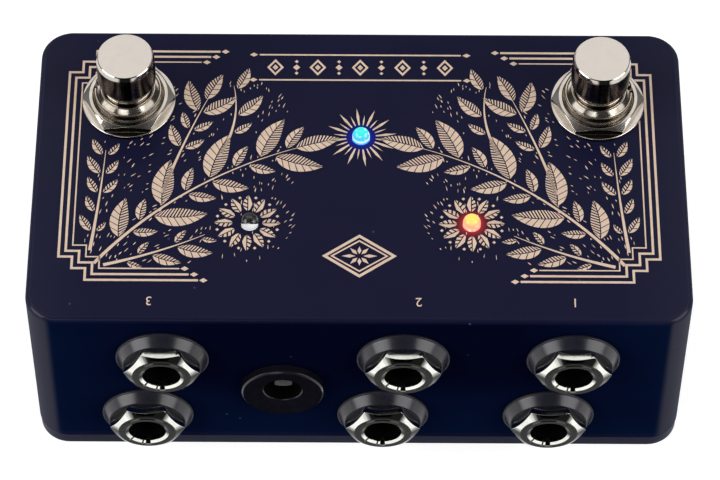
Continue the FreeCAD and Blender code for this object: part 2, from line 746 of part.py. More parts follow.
def inlet_pin():
    """The centre pin, from behind the mouth to the socket's floor, with a thinner root in the barrel."""
    front = INLET_PROUD - INLET_PIN_SET_BACK
    floor = INLET_PROUD - INLET_BORE_DEPTH
    rear = INLET_PIN_END - WALL - INLET_LENGTH
    root = INLET_PIN_RADIUS - INLET_PIN_STEP
    profile = [
        (0, rear),
        (root, rear),
        (root, floor),
        (INLET_PIN_RADIUS, floor),
        (INLET_PIN_RADIUS, front - INLET_PIN_TIP),
        (INLET_PIN_RADIUS - INLET_PIN_TIP, front),
        (0, front),
    ]
    return revolved(profile, V(INLET_X, inlet_base(), INLET_Z), -Y)


def inlet_nut():
    centre = V(INLET_X, front_at(INLET_Z) + WALL + NEAR, INLET_Z)
    nut = hexagon(INLET_NUT_FLATS, 0, INLET_NUT, centre, Y)
    return nut.cut(Part.makeCylinder(INLET_RADIUS + THREAD_GAP, INLET_NUT + 2, centre - Y, Y))


def inlet_lug(side):
    """A flat tail moulded into the inlet."""
    rear = inlet_base() + WALL + INLET_LENGTH
    z = INLET_Z + side * INLET_LUG_REACH
    half = V(INLET_LUG_WIDE / 2, 0, INLET_LUG_THICK / 2)
    start = V(INLET_X, rear - INLET_LUG_ROOT, z)
    return block(start - half, start + Y * (INLET_LUG_ROOT + INLET_LUG_LENGTH) + half)


def inlet_strip(above):
    """The contact strip in the socket's lower wall, reaching this far above its own middle."""
    front = inlet_base() - INLET_PROUD + INLET_STRIP_SET_BACK
    rear = inlet_base() + WALL + INLET_LENGTH - INLET_LUG_ROOT
    half = INLET_STRIP_WIDE / 2
    z = INLET_Z - INLET_LUG_REACH
    return block(V(INLET_X - half, front, z - INLET_LUG_THICK / 2), V(INLET_X + half, rear, z + above))


def inlet_lugs():
    """The two tails, the lower one widening into the socket's contact strip."""
    strip = inlet_strip(INLET_LUG_THICK / 2)
    return Part.makeCompound([inlet_lug(-1).fuse(strip).removeSplitter(), inlet_lug(1)])


def inlet_leads():
    """Two insulated wires from the inlet's tails to the board's two faces."""
    rear = inlet_base() + WALL + INLET_LENGTH
    bend = LEAD_BEND
    leads = []
    for side, board_face in ((1, BOARD_TOP), (-1, BOARD_BOTTOM)):
        z = INLET_Z + side * (INLET_LUG_REACH + INLET_LUG_THICK / 2 + LEAD_RADIUS)
        start = V(INLET_X, rear + LEAD_START, z)
        turn = start + V(0, INLET_LUG_LENGTH, 0)
        mid = turn + V(0, bend * math.sin(math.pi / 4), -side * bend * (1 - math.cos(math.pi / 4)))
        down = turn + V(0, bend, -side * bend)
        foot = V(INLET_X, down.y, board_face)
        path = [
            Part.LineSegment(start, turn).toShape(),
            Part.Arc(turn, mid, down).toShape(),
            Part.LineSegment(down, foot).toShape(),
        ]
        section = Part.Wire([Part.Circle(start, Y, LEAD_RADIUS).toShape()])
        leads.append(Part.Wire(path).makePipeShell([section], True, False))
    return Part.makeCompound(leads)


def circuit_board():
    """The board between the two rows of jacks, notched round the inlet and drilled for what stands on it."""
    front = front_at(JACK_LOWER_Z) + WALL + BOARD_FRONT_GAP
    rear = BACK_INSIDE - BOARD_REAR_GAP
    half = CASE_LENGTH / 2 - BOSS_INSET - BOSS_RADIUS - BOARD_END_GAP
    board = block(V(-half, front, BOARD_BOTTOM), V(half, rear, BOARD_TOP))
    inlet_rear = inlet_base() + WALL + INLET_LENGTH
    lug_reach = INLET_LUG_WIDE / 2 + 2 * NEAR
    notches = (
        (INLET_NUT_FLATS / math.sqrt(3) + NEAR, inlet_rear + NEAR),
        (lug_reach, inlet_rear + INLET_LUG_LENGTH + NEAR),
    )
    for reach, depth in notches:
        board = board.cut(block(V(INLET_X - reach, front - 1, 0), V(INLET_X + reach, depth, CEILING)))
    holes = []
    for x, y in lamp_places().values():
        for side in (-1, 1):
            leg = x + side * LAMP_LEG_PITCH / 2
            holes.append(cylinder(LAMP_LEG, BOARD_BOTTOM - 1, BOARD_TOP + 1, leg, y))
    for side in (-1, 1):
        for blade in (-1, 1):
            slot = terminal(blade, PIN_GAP, BOARD_BOTTOM - 1, BOARD_TOP + 1)
            holes.append(at_switch(slot, side))
    for x, z in jack_places().values():
        for y in leaf_places():
            half_wide = LEAF_WIDE / 2 + PIN_GAP
            half_thick = LEAF / 2 + PIN_GAP
            low, high = sorted((BOARD_MIDDLE, z))
            holes.append(block(V(x - half_wide, y - half_thick, low), V(x + half_wide, y + half_thick, high)))
    return board.cut(holes)


def relays():
    """Four low signal relays in a row, two on each side of the centre lamp."""
    pitch = RELAY.x + RELAY_SPACE
    row = []
    for side in (-1, 1):
        for k in range(2):
            x = switch_x(side) - side * (SWITCH_WIDTH / 2 + (k + 1) * pitch - RELAY.x / 2)
            low = V(x - RELAY.x / 2, SWITCH_Y + RELAY_BACK, BOARD_TOP)
            row.append(block(low, low + RELAY))
    return Part.makeCompound(row)


def board_parts():
    """A controller, two amplifier chips and two storage capacitors."""
    y = jack_front() + JACK_LENGTH + PARTS_BEHIND_JACKS
    to_capacitor = SWITCH_WIDTH / 2 + CAPACITOR_SPACE + CAPACITOR_RADIUS
    to_amplifier = to_capacitor + CAPACITOR_RADIUS + CHIP_SPACE + AMPLIFIER_LENGTH / 2
    pieces = [chip(CONTROLLER_X, y, CONTROLLER_LENGTH)]
    for side in (-1, 1):
        pieces.append(chip(switch_x(side) - side * to_amplifier, y, AMPLIFIER_LENGTH))
        x = switch_x(side) - side * to_capacitor
        pieces.append(cylinder(CAPACITOR_RADIUS, BOARD_TOP, BOARD_TOP + CAPACITOR_HEIGHT, x, y))
    return Part.makeCompound(pieces)


def chip(x, y, length):
    half = V(length / 2, CHIP_DEPTH / 2, 0)
    low = V(x, y, BOARD_TOP)
    return block(low - half, low + half + Z * CHIP_HEIGHT)


def save(name, shape):
    for solid in shape.Solids:
        if not solid.isValid() or solid.Volume <= 0:
            raise ValueError(name + " is not a sound solid")
    shape.exportStep(os.path.join("parts", name + ".step"))


def main():
    os.makedirs("parts", exist_ok=True)
    save("enclosure", enclosure())
    save("base_plate", base_plate())
    save("base_screws", base_screws())
    switch_parts = {
        "footswitch_cap": footswitch_cap(),
        "footswitch_stem": footswitch_stem(),
        "footswitch_contact": footswitch_contact(),
        "footswitch_spring": footswitch_spring(),
        "footswitch_bushing": footswitch_bushing(),
        "footswitch_nuts": footswitch_nuts(),
        "footswitch_washer": footswitch_washer(),
        "footswitch_housing": footswitch_housing(),
    }
    for name, shape in switch_parts.items():
        save(name + "_left", at_switch(shape, -1))
        save(name + "_right", at_switch(shape, 1))
    save("footswitch_lock_washers", footswitch_lock_washers())
    save("footswitch_terminals", footswitch_terminals())
    for name, (x, y) in lamp_places().items():
        save("lamp_lens_" + name, lamp_lens().translated(V(x, y, 0)))
    save("lamp_spacers", at_lamps(lamp_spacer()))
    save("lamp_legs", at_lamps(lamp_legs()))
    contacts = []
    for name, (x, z) in jack_places().items():
        save("jack_bezel_" + name, jack_bezel(x, z))
        save("jack_nut_" + name, jack_nut(x, z))
        save("jack_sleeve_" + name, jack_sleeve(x, z))
        save("jack_housing_" + name, jack_body(x, z))
        contacts += jack_contacts(x, z)
    save("jack_contacts", Part.makeCompound(contacts))
    save("inlet_housing", inlet_housing())
    save("inlet_pin", inlet_pin())
    save("inlet_nut", inlet_nut())
    save("inlet_lugs", inlet_lugs())
    save("inlet_leads", inlet_leads())
    save("circuit_board", circuit_board())
    save("relays", relays())
    save("board_parts", board_parts())


main()
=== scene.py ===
import json
import math
import random

import bmesh
import bpy
from mathutils import Matrix, Vector


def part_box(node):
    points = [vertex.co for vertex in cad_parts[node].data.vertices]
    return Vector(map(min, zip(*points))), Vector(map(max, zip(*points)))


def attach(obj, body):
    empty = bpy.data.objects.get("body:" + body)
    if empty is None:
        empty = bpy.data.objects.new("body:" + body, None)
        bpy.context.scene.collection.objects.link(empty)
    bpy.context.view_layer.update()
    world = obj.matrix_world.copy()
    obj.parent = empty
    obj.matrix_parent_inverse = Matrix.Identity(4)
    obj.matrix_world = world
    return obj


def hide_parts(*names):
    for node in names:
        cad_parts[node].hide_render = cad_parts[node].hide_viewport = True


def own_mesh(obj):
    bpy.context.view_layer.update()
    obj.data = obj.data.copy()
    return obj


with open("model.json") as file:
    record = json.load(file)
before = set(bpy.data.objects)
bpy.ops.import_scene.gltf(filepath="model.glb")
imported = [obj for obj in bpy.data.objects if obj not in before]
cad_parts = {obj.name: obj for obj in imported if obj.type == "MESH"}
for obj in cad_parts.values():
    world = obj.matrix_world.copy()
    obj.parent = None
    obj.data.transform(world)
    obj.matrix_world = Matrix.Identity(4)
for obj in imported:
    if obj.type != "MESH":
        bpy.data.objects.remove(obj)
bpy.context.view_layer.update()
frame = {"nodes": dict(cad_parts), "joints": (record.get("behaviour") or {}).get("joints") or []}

# The looks of a signal switch pedal. Sizes are in millimetres, and places come from the frame's nodes.
MM = 0.001
SIDES = ("left", "right")
JACKS = [column + "_" + row for column in ("left", "middle", "right") for row in ("upper", "lower")]
FULL_TURN = 2 * math.pi
SIXTH = FULL_TURN / 6
ROUND_STEPS = 120
ARC_STEPS = 5
SLOT_EDGE = 0.002
ON_AXIS = 1e-6
LEAST_BEND = 1e-4
CHAMFER_SLOPE = math.tan(math.radians(30))

# Sizes that the nodes' boxes don't give
SPIGOT_RADIUS = 2.5
STEM_RADIUS = 4.2
LAMP_RADIUS = 1.5
INLET_BORE_DEPTH = 9.5

# Camera, from the corners of the box in the photograph, with angles in degrees
IMAGE_WIDTH = 720
CAMERA_AZIMUTH = -0.12
CAMERA_ELEVATION = 57.0
CAMERA_ROLL = 0.389
CAMERA_DISTANCE = 576.6
CAMERA_TARGET = Vector((0.12, 0.73, 18.2))
CAMERA_FOCAL_PIXELS = 3260.9
SENSOR_WIDTH = 36.0

# Colours, linear
# The panel's top navy and its rim navy carry a painted sheen.
NAVY_TOP_PAINTED_SHEEN = (0.0104, 0.0104, 0.0370)
NAVY_PANEL_ENDS_PAINTED_SHEEN = (0.0180, 0.0185, 0.0430)
NAVY_SIDE = (0.0018, 0.0030, 0.0190)
# The low navy is painted light on the walls' foot and ends.
NAVY_WALL_PAINTED_LIGHT = (0.0028, 0.0108, 0.0460)
# The corner navy is a painted highlight.
NAVY_CORNER_PAINTED_HIGHLIGHT = (0.024, 0.026, 0.050)
# The seam navy is painted light along the foot of the walls and on the plate's edge.
NAVY_FOOT_PAINTED_LIGHT = (0.0095, 0.0125, 0.0440)
GREY_FOOT = (0.019, 0.018, 0.033)
SPECK = (0.05, 0.06, 0.16)
INK = (0.87, 0.67, 0.52)
INK_WORN = (0.77, 0.58, 0.45)
NICKEL = (0.72, 0.665, 0.60)
NICKEL_DULL = (0.60, 0.54, 0.47)
NICKEL_WORN = (0.50, 0.42, 0.30)
# A painted dark reflection for the plating, laid where it faces dark surroundings.
NICKEL_PAINTED_DARK_REFLECTION = (0.008, 0.0083, 0.0075)
JACK_NICKEL = (0.86, 0.86, 0.81)
JACK_NICKEL_DULL = (0.70, 0.70, 0.64)
ZINC = (0.55, 0.56, 0.58)
BLACK_SATIN = (0.0120, 0.0118, 0.0200)
BLACK_MOULDED = (0.0072, 0.0068, 0.0115)
# A black plastic made far darker than plastic, as painted shade deep in the bores.
BORE_BLACK_PAINTED_SHADE = (0.0012, 0.0012, 0.0012)
STRIP_GREY = (0.92, 0.92, 0.90)
REFLECTOR_WHITE = (0.90, 0.90, 0.91)
WHITE_MOULDED = (0.72, 0.72, 0.70)
TINNED = (0.70, 0.68, 0.62)
BOARD_GREEN = (0.012, 0.075, 0.030)
WIRE_RED = (0.35, 0.012, 0.010)
FLOOR_WHITE = (0.45, 0.45, 0.45)

# Floor and lamps of the studio
FLOOR_GLOW = 0.80
FLOOR_RADIUS = 6000
LAMP_DISTANCE = 900
LAMP_TARGET = Vector((0, 0, 30))

# Light of the lit lamps, and the glow that is painted round them on the panel
HALO_START = 1.2
HALO_REACH = 2.9
BLUE_LENS = ((0.035, 0.80, 0.64), (0.07, 0.50, 0.90), (0.75, 0.95, 1.0))
RED_LENS = ((1.0, 0.74, 0.10), (1.0, 0.36, 0.24), (1.0, 0.92, 0.66))
BLUE_PAINTED_HALO = (0.004, 0.010, 0.42)
RED_PAINTED_HALO = (0.55, 0.035, 0.012)


def extent(node):
    """A node's lowest and highest corners and its middle, in millimetres."""
    low, high = (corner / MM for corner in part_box(node))
    return low, high, (low + high) / 2


def middle_of(node):
    return extent(node)[2]


PANEL = extent("enclosure")[1].z


def rounded(outline, steps=ARC_STEPS):
    """The points of an outline of (across, along, radius) corners, with an arc where a radius is given."""
    points = []
    for k, (across, along, radius) in enumerate(outline):
        corner = Vector((across, along))
        if not radius:
            points.append(corner)
            continue
        before = (Vector(outline[k - 1][:2]) - corner).normalized()
        after = (Vector(outline[(k + 1) % len(outline)][:2]) - corner).normalized()
        half = before.angle(after) / 2
        centre = corner + (before + after).normalized() * (radius / math.sin(half))
        start = corner + before * (radius / math.tan(half)) - centre
        end = corner + after * (radius / math.tan(half)) - centre
        turn = math.atan2(start.cross(end), start.dot(end))
        for step in range(steps + 1):
            points.append(centre + Matrix.Rotation(turn * step / steps, 2) @ start)
    return points


def round_turns(steps=ROUND_STEPS, extra=()):
    """Angles about an axis, with extra ones where a slot's walls stand."""
    turns = {FULL_TURN * k / steps for k in range(steps)}
    turns |= {angle % FULL_TURN for angle in extra}
    return sorted(turns)


def hex_turns():
    """Angles about a nut's axis that leave a narrow bevel at each of its six corners, the first at zero."""
    corner_bevel, steps = math.radians(0.9), 12
    return [
        k * SIXTH + corner_bevel + (SIXTH - 2 * corner_bevel) * step / steps
        for k in range(6) for step in range(steps + 1)
    ]


def hex_reach(turn, flats):
    """How far a hexagon across these flats reaches at an angle, with a corner at zero."""
    return flats / 2 / math.cos(turn % SIXTH - SIXTH / 2)


def off_turn(turn, middle):
    """How far an angle lies from another, up to half a turn either way."""
    return (turn - middle + math.pi) % FULL_TURN - math.pi


def slot_walls(middle, reach):
    """Angles just inside and just outside both walls of a slot."""
    return [middle + sign * (reach + edge) for sign in (-1, 1) for edge in (-SLOT_EDGE, SLOT_EDGE)]


def scaled(colour, share):
    return tuple(c * share for c in colour)


def placed(name, data):
    """A new object in the scene that holds this data."""
    obj = bpy.data.objects.new(name, data)
    bpy.context.scene.collection.objects.link(obj)
    return obj


class Shape:
    """A mesh being made, in millimetres in the part's frame."""

    def __init__(self, name):
        self.name = name
        self.mesh = bmesh.new()

    def sweep(self, place, turns, outline_at, second_finish=None):
        """Turns an outline of (radius, height) points about the local Z axis. It may differ with the
        angle, and it is a closed loop unless it starts and ends on the axis."""
        outlines = [outline_at(turn) for turn in turns]
        first = outlines[0]
        open_ended = max(first[0][0], first[-1][0]) < ON_AXIS
        columns = []
        poles = {}
        for turn, outline in zip(turns, outlines):
            column = []
            for j, (radius, height) in enumerate(outline):
                at_pole = open_ended and j in (0, len(outline) - 1)
                if at_pole and j in poles:
                    column.append(poles[j])
                    continue
                point = place @ Vector((radius * math.cos(turn), radius * math.sin(turn), height))
                vertex = self.mesh.verts.new(point * MM)
                if at_pole:
                    poles[j] = vertex
                column.append(vertex)
            columns.append(column)
        count = len(first)
        for k, column in enumerate(columns):
            following = columns[(k + 1) % len(columns)]
            for j in range(count - 1 if open_ended else count):
                corners = [column[j], following[j], following[(j + 1) % count], column[(j + 1) % count]]
                corners = [c for i, c in enumerate(corners) if c is not corners[i - 1]]
                face = self.mesh.faces.new(corners)
                if second_finish and second_finish(first[j], first[(j + 1) % count]):
                    face.material_index = 1

    def turned(self, place, points, steps=ROUND_STEPS):
        """Turns one outline all the way round."""
        self.sweep(place, round_turns(steps), lambda turn: points)

    def prism(self, outline, low, high, place):
        """A flat outline of (x, y) points, given thickness between two heights."""
        rings = []
        for height in (low, high):
            rings.append([self.mesh.verts.new(place @ Vector((x, y, height)) * MM) for x, y in outline])
        bottom, top = rings
        self.mesh.faces.new(bottom[::-1])
        self.mesh.faces.new(top)
        for k in range(len(outline)):
            after = (k + 1) % len(outline)
            self.mesh.faces.new((bottom[k], bottom[after], top[after], top[k]))

    def done(self, finishes, body, node=None, sharp=35.0):
        """Makes the object, smooth except at edges sharper than this many degrees, ties it to its body, and
        hides its CAD node."""
        bmesh.ops.recalc_face_normals(self.mesh, faces=self.mesh.faces)
        data = bpy.data.meshes.new(self.name)
        self.mesh.to_mesh(data)
        self.mesh.free()
        for finish in finishes:
            data.materials.append(finish)
        piece = placed(self.name, data)
        data.shade_smooth()
        data.set_sharp_from_angle(angle=math.radians(sharp))
        keep_flats(piece)
        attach(piece, body)
        if node:
            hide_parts(node)
        return piece


def keep_flats(piece):
    """Leaves flat faces flat under smooth shading."""
    weighted = piece.modifiers.new("flat faces", "WEIGHTED_NORMAL")
    weighted.keep_sharp = True


def upright(x, y):
    """A local frame that stands on the panel."""
    return Matrix.Translation((x, y, PANEL))


def facing_front(x, y, z):
    """A local frame whose Z axis points out of the front wall, with local X to the right and local Y up."""
    axes = Matrix(((1, 0, 0), (0, 0, -1), (0, 1, 0))).to_4x4()
    return Matrix.Translation((x, y, z)) @ axes


def on_panel(node):
    """A node's local frame on the panel, its half width, and its foot and top over the panel."""
    low, high, centre = extent(node)
    return upright(centre.x, centre.y), (high.x - low.x) / 2, low.z - PANEL, high.z - PANEL


def on_front(node):
    """A node's local frame on its own front end, its half width and its length."""
    low, high, centre = extent(node)
    return facing_front(centre.x, low.y, centre.z), (high.x - low.x) / 2, high.y - low.y


# Finishes


class Finish:
    """A procedural material: a Principled shader and the nodes that vary it over the surface."""

    def __init__(self, name, roughness, metallic=0.0, specular=0.5):
        self.material = bpy.data.materials.new(name)
        self.material.use_nodes = True
        self.tree = self.material.node_tree
        self.shader = self.tree.nodes["Principled BSDF"]
        self.put("Roughness", roughness)
        self.put("Metallic", metallic)
        self.put("Specular IOR Level", specular)
        texture = self.tree.nodes.new("ShaderNodeTexCoord")
        self.place = texture.outputs["Object"]
        self.facing = texture.outputs["Normal"]

    def put(self, name, value):
        """Sets one of the shader's inputs, or links it where the value is another node's output."""
        self.join(value, self.shader.inputs[name])

    def join(self, value, socket):
        if isinstance(value, bpy.types.NodeSocket):
            self.tree.links.new(value, socket)
        elif isinstance(value, tuple) and len(value) == 3 and socket.type == "RGBA":
            socket.default_value = (*value, 1.0)
        else:
            socket.default_value = value

    def node(self, kind, inputs, **settings):
        """A new node with its inputs set or linked by place; returns it."""
        node = self.tree.nodes.new(kind)
        for key, value in settings.items():
            setattr(node, key, value)
        for key, value in inputs.items():
            self.join(value, node.inputs[key])
        return node

    def noise(self, size, detail=3.0, roughness=0.55, distortion=0.0):
        """Soft noise from 0 to 1 whose features are about this many millimetres wide."""
        inputs = {"Vector": self.place, "Scale": 1 / (size * MM), "Detail": detail, "Roughness": roughness}
        return self.node("ShaderNodeTexNoise", {**inputs, "Distortion": distortion}).outputs["Fac"]

    def spread(self, value, low, high, to_low=0.0, to_high=1.0, kind="LINEAR"):
        """Maps a range of a value to another, clamped."""
        inputs = {0: value, 1: low, 2: high, 3: to_low, 4: to_high}
        return self.node("ShaderNodeMapRange", inputs, interpolation_type=kind).outputs[0]

    def mix(self, share, first, second, kind="MIX"):
        """A colour between two others."""
        node = self.node("ShaderNodeMix", {}, data_type="RGBA", blend_type=kind)
        for key, value in ((0, share), (6, first), (7, second)):
            self.join(value, node.inputs[key])
        return node.outputs[2]

    def parts(self, vector):
        """The X, Y and Z of a vector, such as the place or the way that the surface faces."""
        return self.node("ShaderNodeSeparateXYZ", {0: vector}).outputs

    def faces(self, *ranges):
        """How far the surface faces some way: the product of ranges of the X, Y or Z of its direction."""
        parts = self.parts(self.facing)
        return self.times(*[self.spread(parts[axis], *limits) for axis, *limits in ranges])

    def math(self, operation, first, second=0.0):
        return self.node("ShaderNodeMath", {0: first, 1: second}, operation=operation).outputs[0]

    def times(self, first, *others):
        """The product of several values."""
        for other in others:
            first = self.math("MULTIPLY", first, other)
        return first

    def most(self, first, *others):
        """The greatest of several values."""
        for other in others:
            first = self.math("MAXIMUM", first, other)
        return first

    def vector(self, operation, first, second):
        node = self.node("ShaderNodeVectorMath", {0: first, 1: second}, operation=operation)
        return node.outputs["Value" if operation == "LENGTH" else "Vector"]

    def bump(self, height, depth, strength=1.0):
        """Surface relief of this many millimetres from a height of 0 to 1."""
        inputs = {"Height": height, "Distance": depth * MM, "Strength": strength}
        self.put("Normal", self.node("ShaderNodeBump", inputs).outputs["Normal"])

    def dots(self, size, share):
        """Small round spots, one in each cell of this many millimetres, on a share of the cells."""
        cells = self.node("ShaderNodeTexVoronoi", {"Vector": self.place, "Scale": 1 / (size * MM)})
        near = self.spread(cells.outputs["Distance"], 0.05, 0.12, 1.0, 0.0)
        picked = self.node("ShaderNodeSeparateColor", {0: cells.outputs["Color"]}).outputs[0]
        return self.times(near, self.math("LESS_THAN", picked, share))

    def from_axis(self, centre):
        """The distance from an upright line through this centre, in metres."""
        offset = self.vector("SUBTRACT", self.place, (centre.x * MM, centre.y * MM, 0.0))
        flat = self.vector("MULTIPLY", offset, (1.0, 1.0, 0.0))
        return self.vector("LENGTH", flat, (0.0, 0.0, 0.0))

    def painted_halo(self, centre):
        """A painted glow on the panel round a lamp, 1 at its edge and 0 at its reach."""
        outer = (HALO_START + HALO_REACH) * MM
        glow = self.spread(self.from_axis(centre), HALO_START * MM, outer, 1.0, 0.0)
        return self.math("POWER", glow, 2.6)


def paint_lamp_glow(finish, share):
    """Paints the light that the two lit lamps throw on the panel and its print, as a glow that the surface
    gives off.
    """
    lights = []
    for lamp, colour in (("lamp_lens_centre", BLUE_PAINTED_HALO), ("lamp_lens_right", RED_PAINTED_HALO)):
        glow = finish.painted_halo(middle_of(lamp))
        lights.append(finish.mix(glow, (0.0, 0.0, 0.0), scaled(colour, share)))
    finish.put("Emission Color", finish.mix(1.0, *lights, "ADD"))
    finish.put("Emission Strength", 1.0)


def powder_coat():
    """Deep navy coat with a fine orange peel. A painted sheen makes the panel greyer than the walls, and
    paler towards its ends. The walls are darkest, with painted light that makes them lighter towards their
    foot and ends and in a band along the foot, and a painted highlight lies on the rounded corners. There
    is more gloss where the box turns its corners and edges, and a few stray specks."""
    finish = Finish("powder_coat", 0.40, specular=0.0)
    place, facing = finish.parts(finish.place), finish.parts(finish.facing)
    across, height = finish.math("ABSOLUTE", place["X"]), place["Z"]
    sideways = finish.spread(finish.math("ABSOLUTE", facing["X"]), 0.20, 0.44, kind="SMOOTHSTEP")
    endways = finish.math("ABSOLUTE", facing["Y"])
    upward = finish.faces(("Z", 0.2, 0.95))
    cloud = finish.spread(finish.noise(14.0, 4.0), 0.3, 0.7, 0.82, 1.12)

    # Painted light: the walls lighter towards their foot and their ends, and in a band along the foot.
    low = finish.spread(height, 24.0 * MM, 3.0 * MM)
    end = finish.spread(across, 26.0 * MM, 52.0 * MM, 0.0, 0.7)
    wall = finish.mix(finish.times(finish.most(low, end), cloud), NAVY_SIDE, NAVY_WALL_PAINTED_LIGHT)
    wall = finish.mix(finish.spread(height, 4.3 * MM, 3.8 * MM), wall, NAVY_FOOT_PAINTED_LIGHT)
    # Painted sheen: the panel greyer than the walls, and paler towards its ends.
    panel = finish.mix(finish.spread(across, 44.0 * MM, 56.0 * MM), NAVY_TOP_PAINTED_SHEEN, NAVY_PANEL_ENDS_PAINTED_SHEEN)
    colour = finish.mix(finish.times(upward, cloud), wall, panel)
    # Painted highlight on the rounded corners of the box.
    corner = finish.times(sideways, finish.spread(endways, 0.05, 0.80), finish.faces(("Z", 0.9, 0.6)))
    colour = finish.mix(corner, colour, NAVY_CORNER_PAINTED_HIGHLIGHT)

    corner_gloss = finish.times(sideways, finish.spread(endways, 0.05, 0.20), 0.14)
    rim_gloss = finish.times(finish.faces(("Z", 0.45, 0.75), ("Z", 0.999, 0.97)), 0.4)
    panel_gloss = finish.times(upward, 0.10)
    finish.put("Base Color", finish.mix(finish.dots(2.3, 0.05), colour, SPECK))
    finish.put("Roughness", finish.spread(finish.noise(1.2), 0.3, 0.7, 0.34, 0.46))
    finish.put("Coat Weight", finish.most(corner_gloss, rim_gloss, panel_gloss))
    finish.put("Coat Roughness", 0.22)
    finish.bump(finish.noise(0.45, 2.0), 0.012, 0.55)
    paint_lamp_glow(finish, 1.0)
    return finish.material


def plate_coat():
    """The same coat on the base plate's edge, in the walls' foot colour with its painted light, and greyer
    towards its foot.
    """
    finish = Finish("powder_coat_plate", 0.40, specular=0.05)
    foot = finish.spread(finish.parts(finish.place)["Z"], 1.8 * MM, 0.4 * MM)
    colour = finish.mix(foot, NAVY_FOOT_PAINTED_LIGHT, GREY_FOOT)
    worn = finish.spread(finish.noise(3.0, 4.0), 0.35, 0.7, 0.8, 1.15)
    finish.put("Base Color", finish.mix(1.0, colour, worn, "MULTIPLY"))
    finish.bump(finish.noise(0.45, 2.0), 0.012, 0.55)
    return finish.material


def printed_ink():
    """Matt rose-beige ink, a little uneven, with the lamps' light painted on it as a glow."""
    finish = Finish("printed_ink", 0.62, specular=0.25)
    finish.put("Base Color", finish.mix(finish.spread(finish.noise(0.8, 5.0), 0.35, 0.7), INK, INK_WORN))
    finish.bump(finish.noise(0.12, 2.0), 0.004, 0.5)
    paint_lamp_glow(finish, 0.9)
    return finish.material


def plated(name, colour, dull, roughness, relief=0.006, painted_reflection=None, side_roughness=0.0):
    """Bright plating over turned metal: slightly cloudy, with fine handling marks. A painted dark
    reflection, made from the way that the surface faces, darkens it, and a side roughness dulls what
    doesn't face up."""
    finish = Finish(name, roughness, metallic=1.0)
    tone = finish.mix(finish.spread(finish.noise(2.4, 4.0, distortion=0.6), 0.35, 0.75), colour, dull)
    marks = finish.spread(finish.noise(0.5, 5.0, 0.7), 0.3, 0.8, roughness * 0.7, roughness * 1.7)
    if painted_reflection:
        # The painted dark reflection.
        tone = finish.mix(painted_reflection(finish), tone, NICKEL_PAINTED_DARK_REFLECTION)
    if side_roughness:
        marks = finish.math("ADD", marks, finish.faces(("Z", 0.3, 0.1, 0.0, side_roughness)))
    finish.put("Base Color", tone)
    finish.put("Roughness", marks)
    finish.bump(finish.noise(1.6, 3.0), relief, 0.35)
    return finish.material


def painted_side_streaks(finish):
    """Painted reflections: upright dark streaks on a turned side, as of the things round it, and painted
    shade on the middle of its shoulder.
    """
    streaks = finish.node("ShaderNodeTexNoise", {"Vector": finish.facing, "Scale": 3.4, "Detail": 2.0})
    share = finish.spread(streaks.outputs["Fac"], 0.40, 0.62, 0.55, 0.97)
    middle = finish.faces(("X", -0.24, -0.12), ("X", 0.30, 0.20), ("Y", -0.15, -0.30), ("Z", 0.97, 0.90))
    return finish.most(finish.times(share, finish.faces(("Z", 0.45, 0.15))), middle)


def painted_nose_shade(finish):
    """Painted shade on the left and right of a round nose, so that its middle alone seems to catch the
    light, and on the front below it.
    """
    aside = finish.math("ABSOLUTE", finish.math("SUBTRACT", finish.parts(finish.facing)["X"], 0.08))
    nose = finish.faces(("Y", 0.1, -0.1), ("Z", 0.985, 0.90), ("Z", 0.25, 0.40))
    return finish.most(finish.times(finish.spread(aside, 0.20, 0.36, 0.0, 0.70), nose), painted_front_reflection(finish))


def painted_forward_reflection(finish):
    """A painted dark reflection on what faces forward and not up, as a bush's nose does over a dark
    foreground.
    """
    return finish.faces(("Y", -0.40, -0.60), ("Z", 0.16, 0.02))


def painted_cone_reflection(finish):
    """The same painted dark reflection, and another on the part of a nut's cone that faces straight ahead.
    """
    ahead = finish.faces(("X", -0.31, -0.20), ("X", 0.38, 0.28), ("Y", -0.40, -0.60), ("Z", 0.75, 0.60))
    return finish.most(painted_forward_reflection(finish), ahead)


def painted_front_reflection(finish):
    """A painted dark reflection only on what faces straight ahead, such as a nut's front flat."""
    return finish.faces(("Y", -0.90, -0.97, 0.0, 0.95), ("Z", 0.35, 0.2))


def moulded(name, colour, roughness, specular=0.5, grain=0.22, depth=0.01, gloss=0.0, painted_glow=0.0):
    """Moulded plastic with a fine grain and slightly uneven gloss. Extra gloss lies on all but front faces.
    The painted glow is the share of its own colour that it gives off: painted light that stands in for the
    light a lens over it gathers."""
    finish = Finish(name, roughness, specular=specular)
    finish.put("Emission Color", colour)
    finish.put("Emission Strength", painted_glow)
    if gloss:
        finish.put("Coat Weight", finish.faces(("Y", -0.90, -0.80, 0.0, gloss)))
        finish.put("Coat Roughness", 0.24)
    lighter = tuple(c * 1.5 + 0.001 for c in colour)
    finish.put("Base Color", finish.mix(finish.spread(finish.noise(0.9, 5.0), 0.4, 0.8), colour, lighter))
    finish.put("Roughness", finish.spread(finish.noise(2.1), 0.3, 0.7, roughness * 0.85, roughness * 1.15))
    finish.bump(finish.noise(grain, 3.0), depth, 0.6)
    return finish.material


def clear_lens(name, colour):
    """Clear epoxy with a faint cast."""
    finish = Finish(name, 0.03)
    finish.put("IOR", 1.53)
    finish.put("Transmission Weight", 1.0)
    finish.put("Base Color", finish.mix(finish.noise(0.9), colour, scaled(colour, 0.93)))
    return finish.material


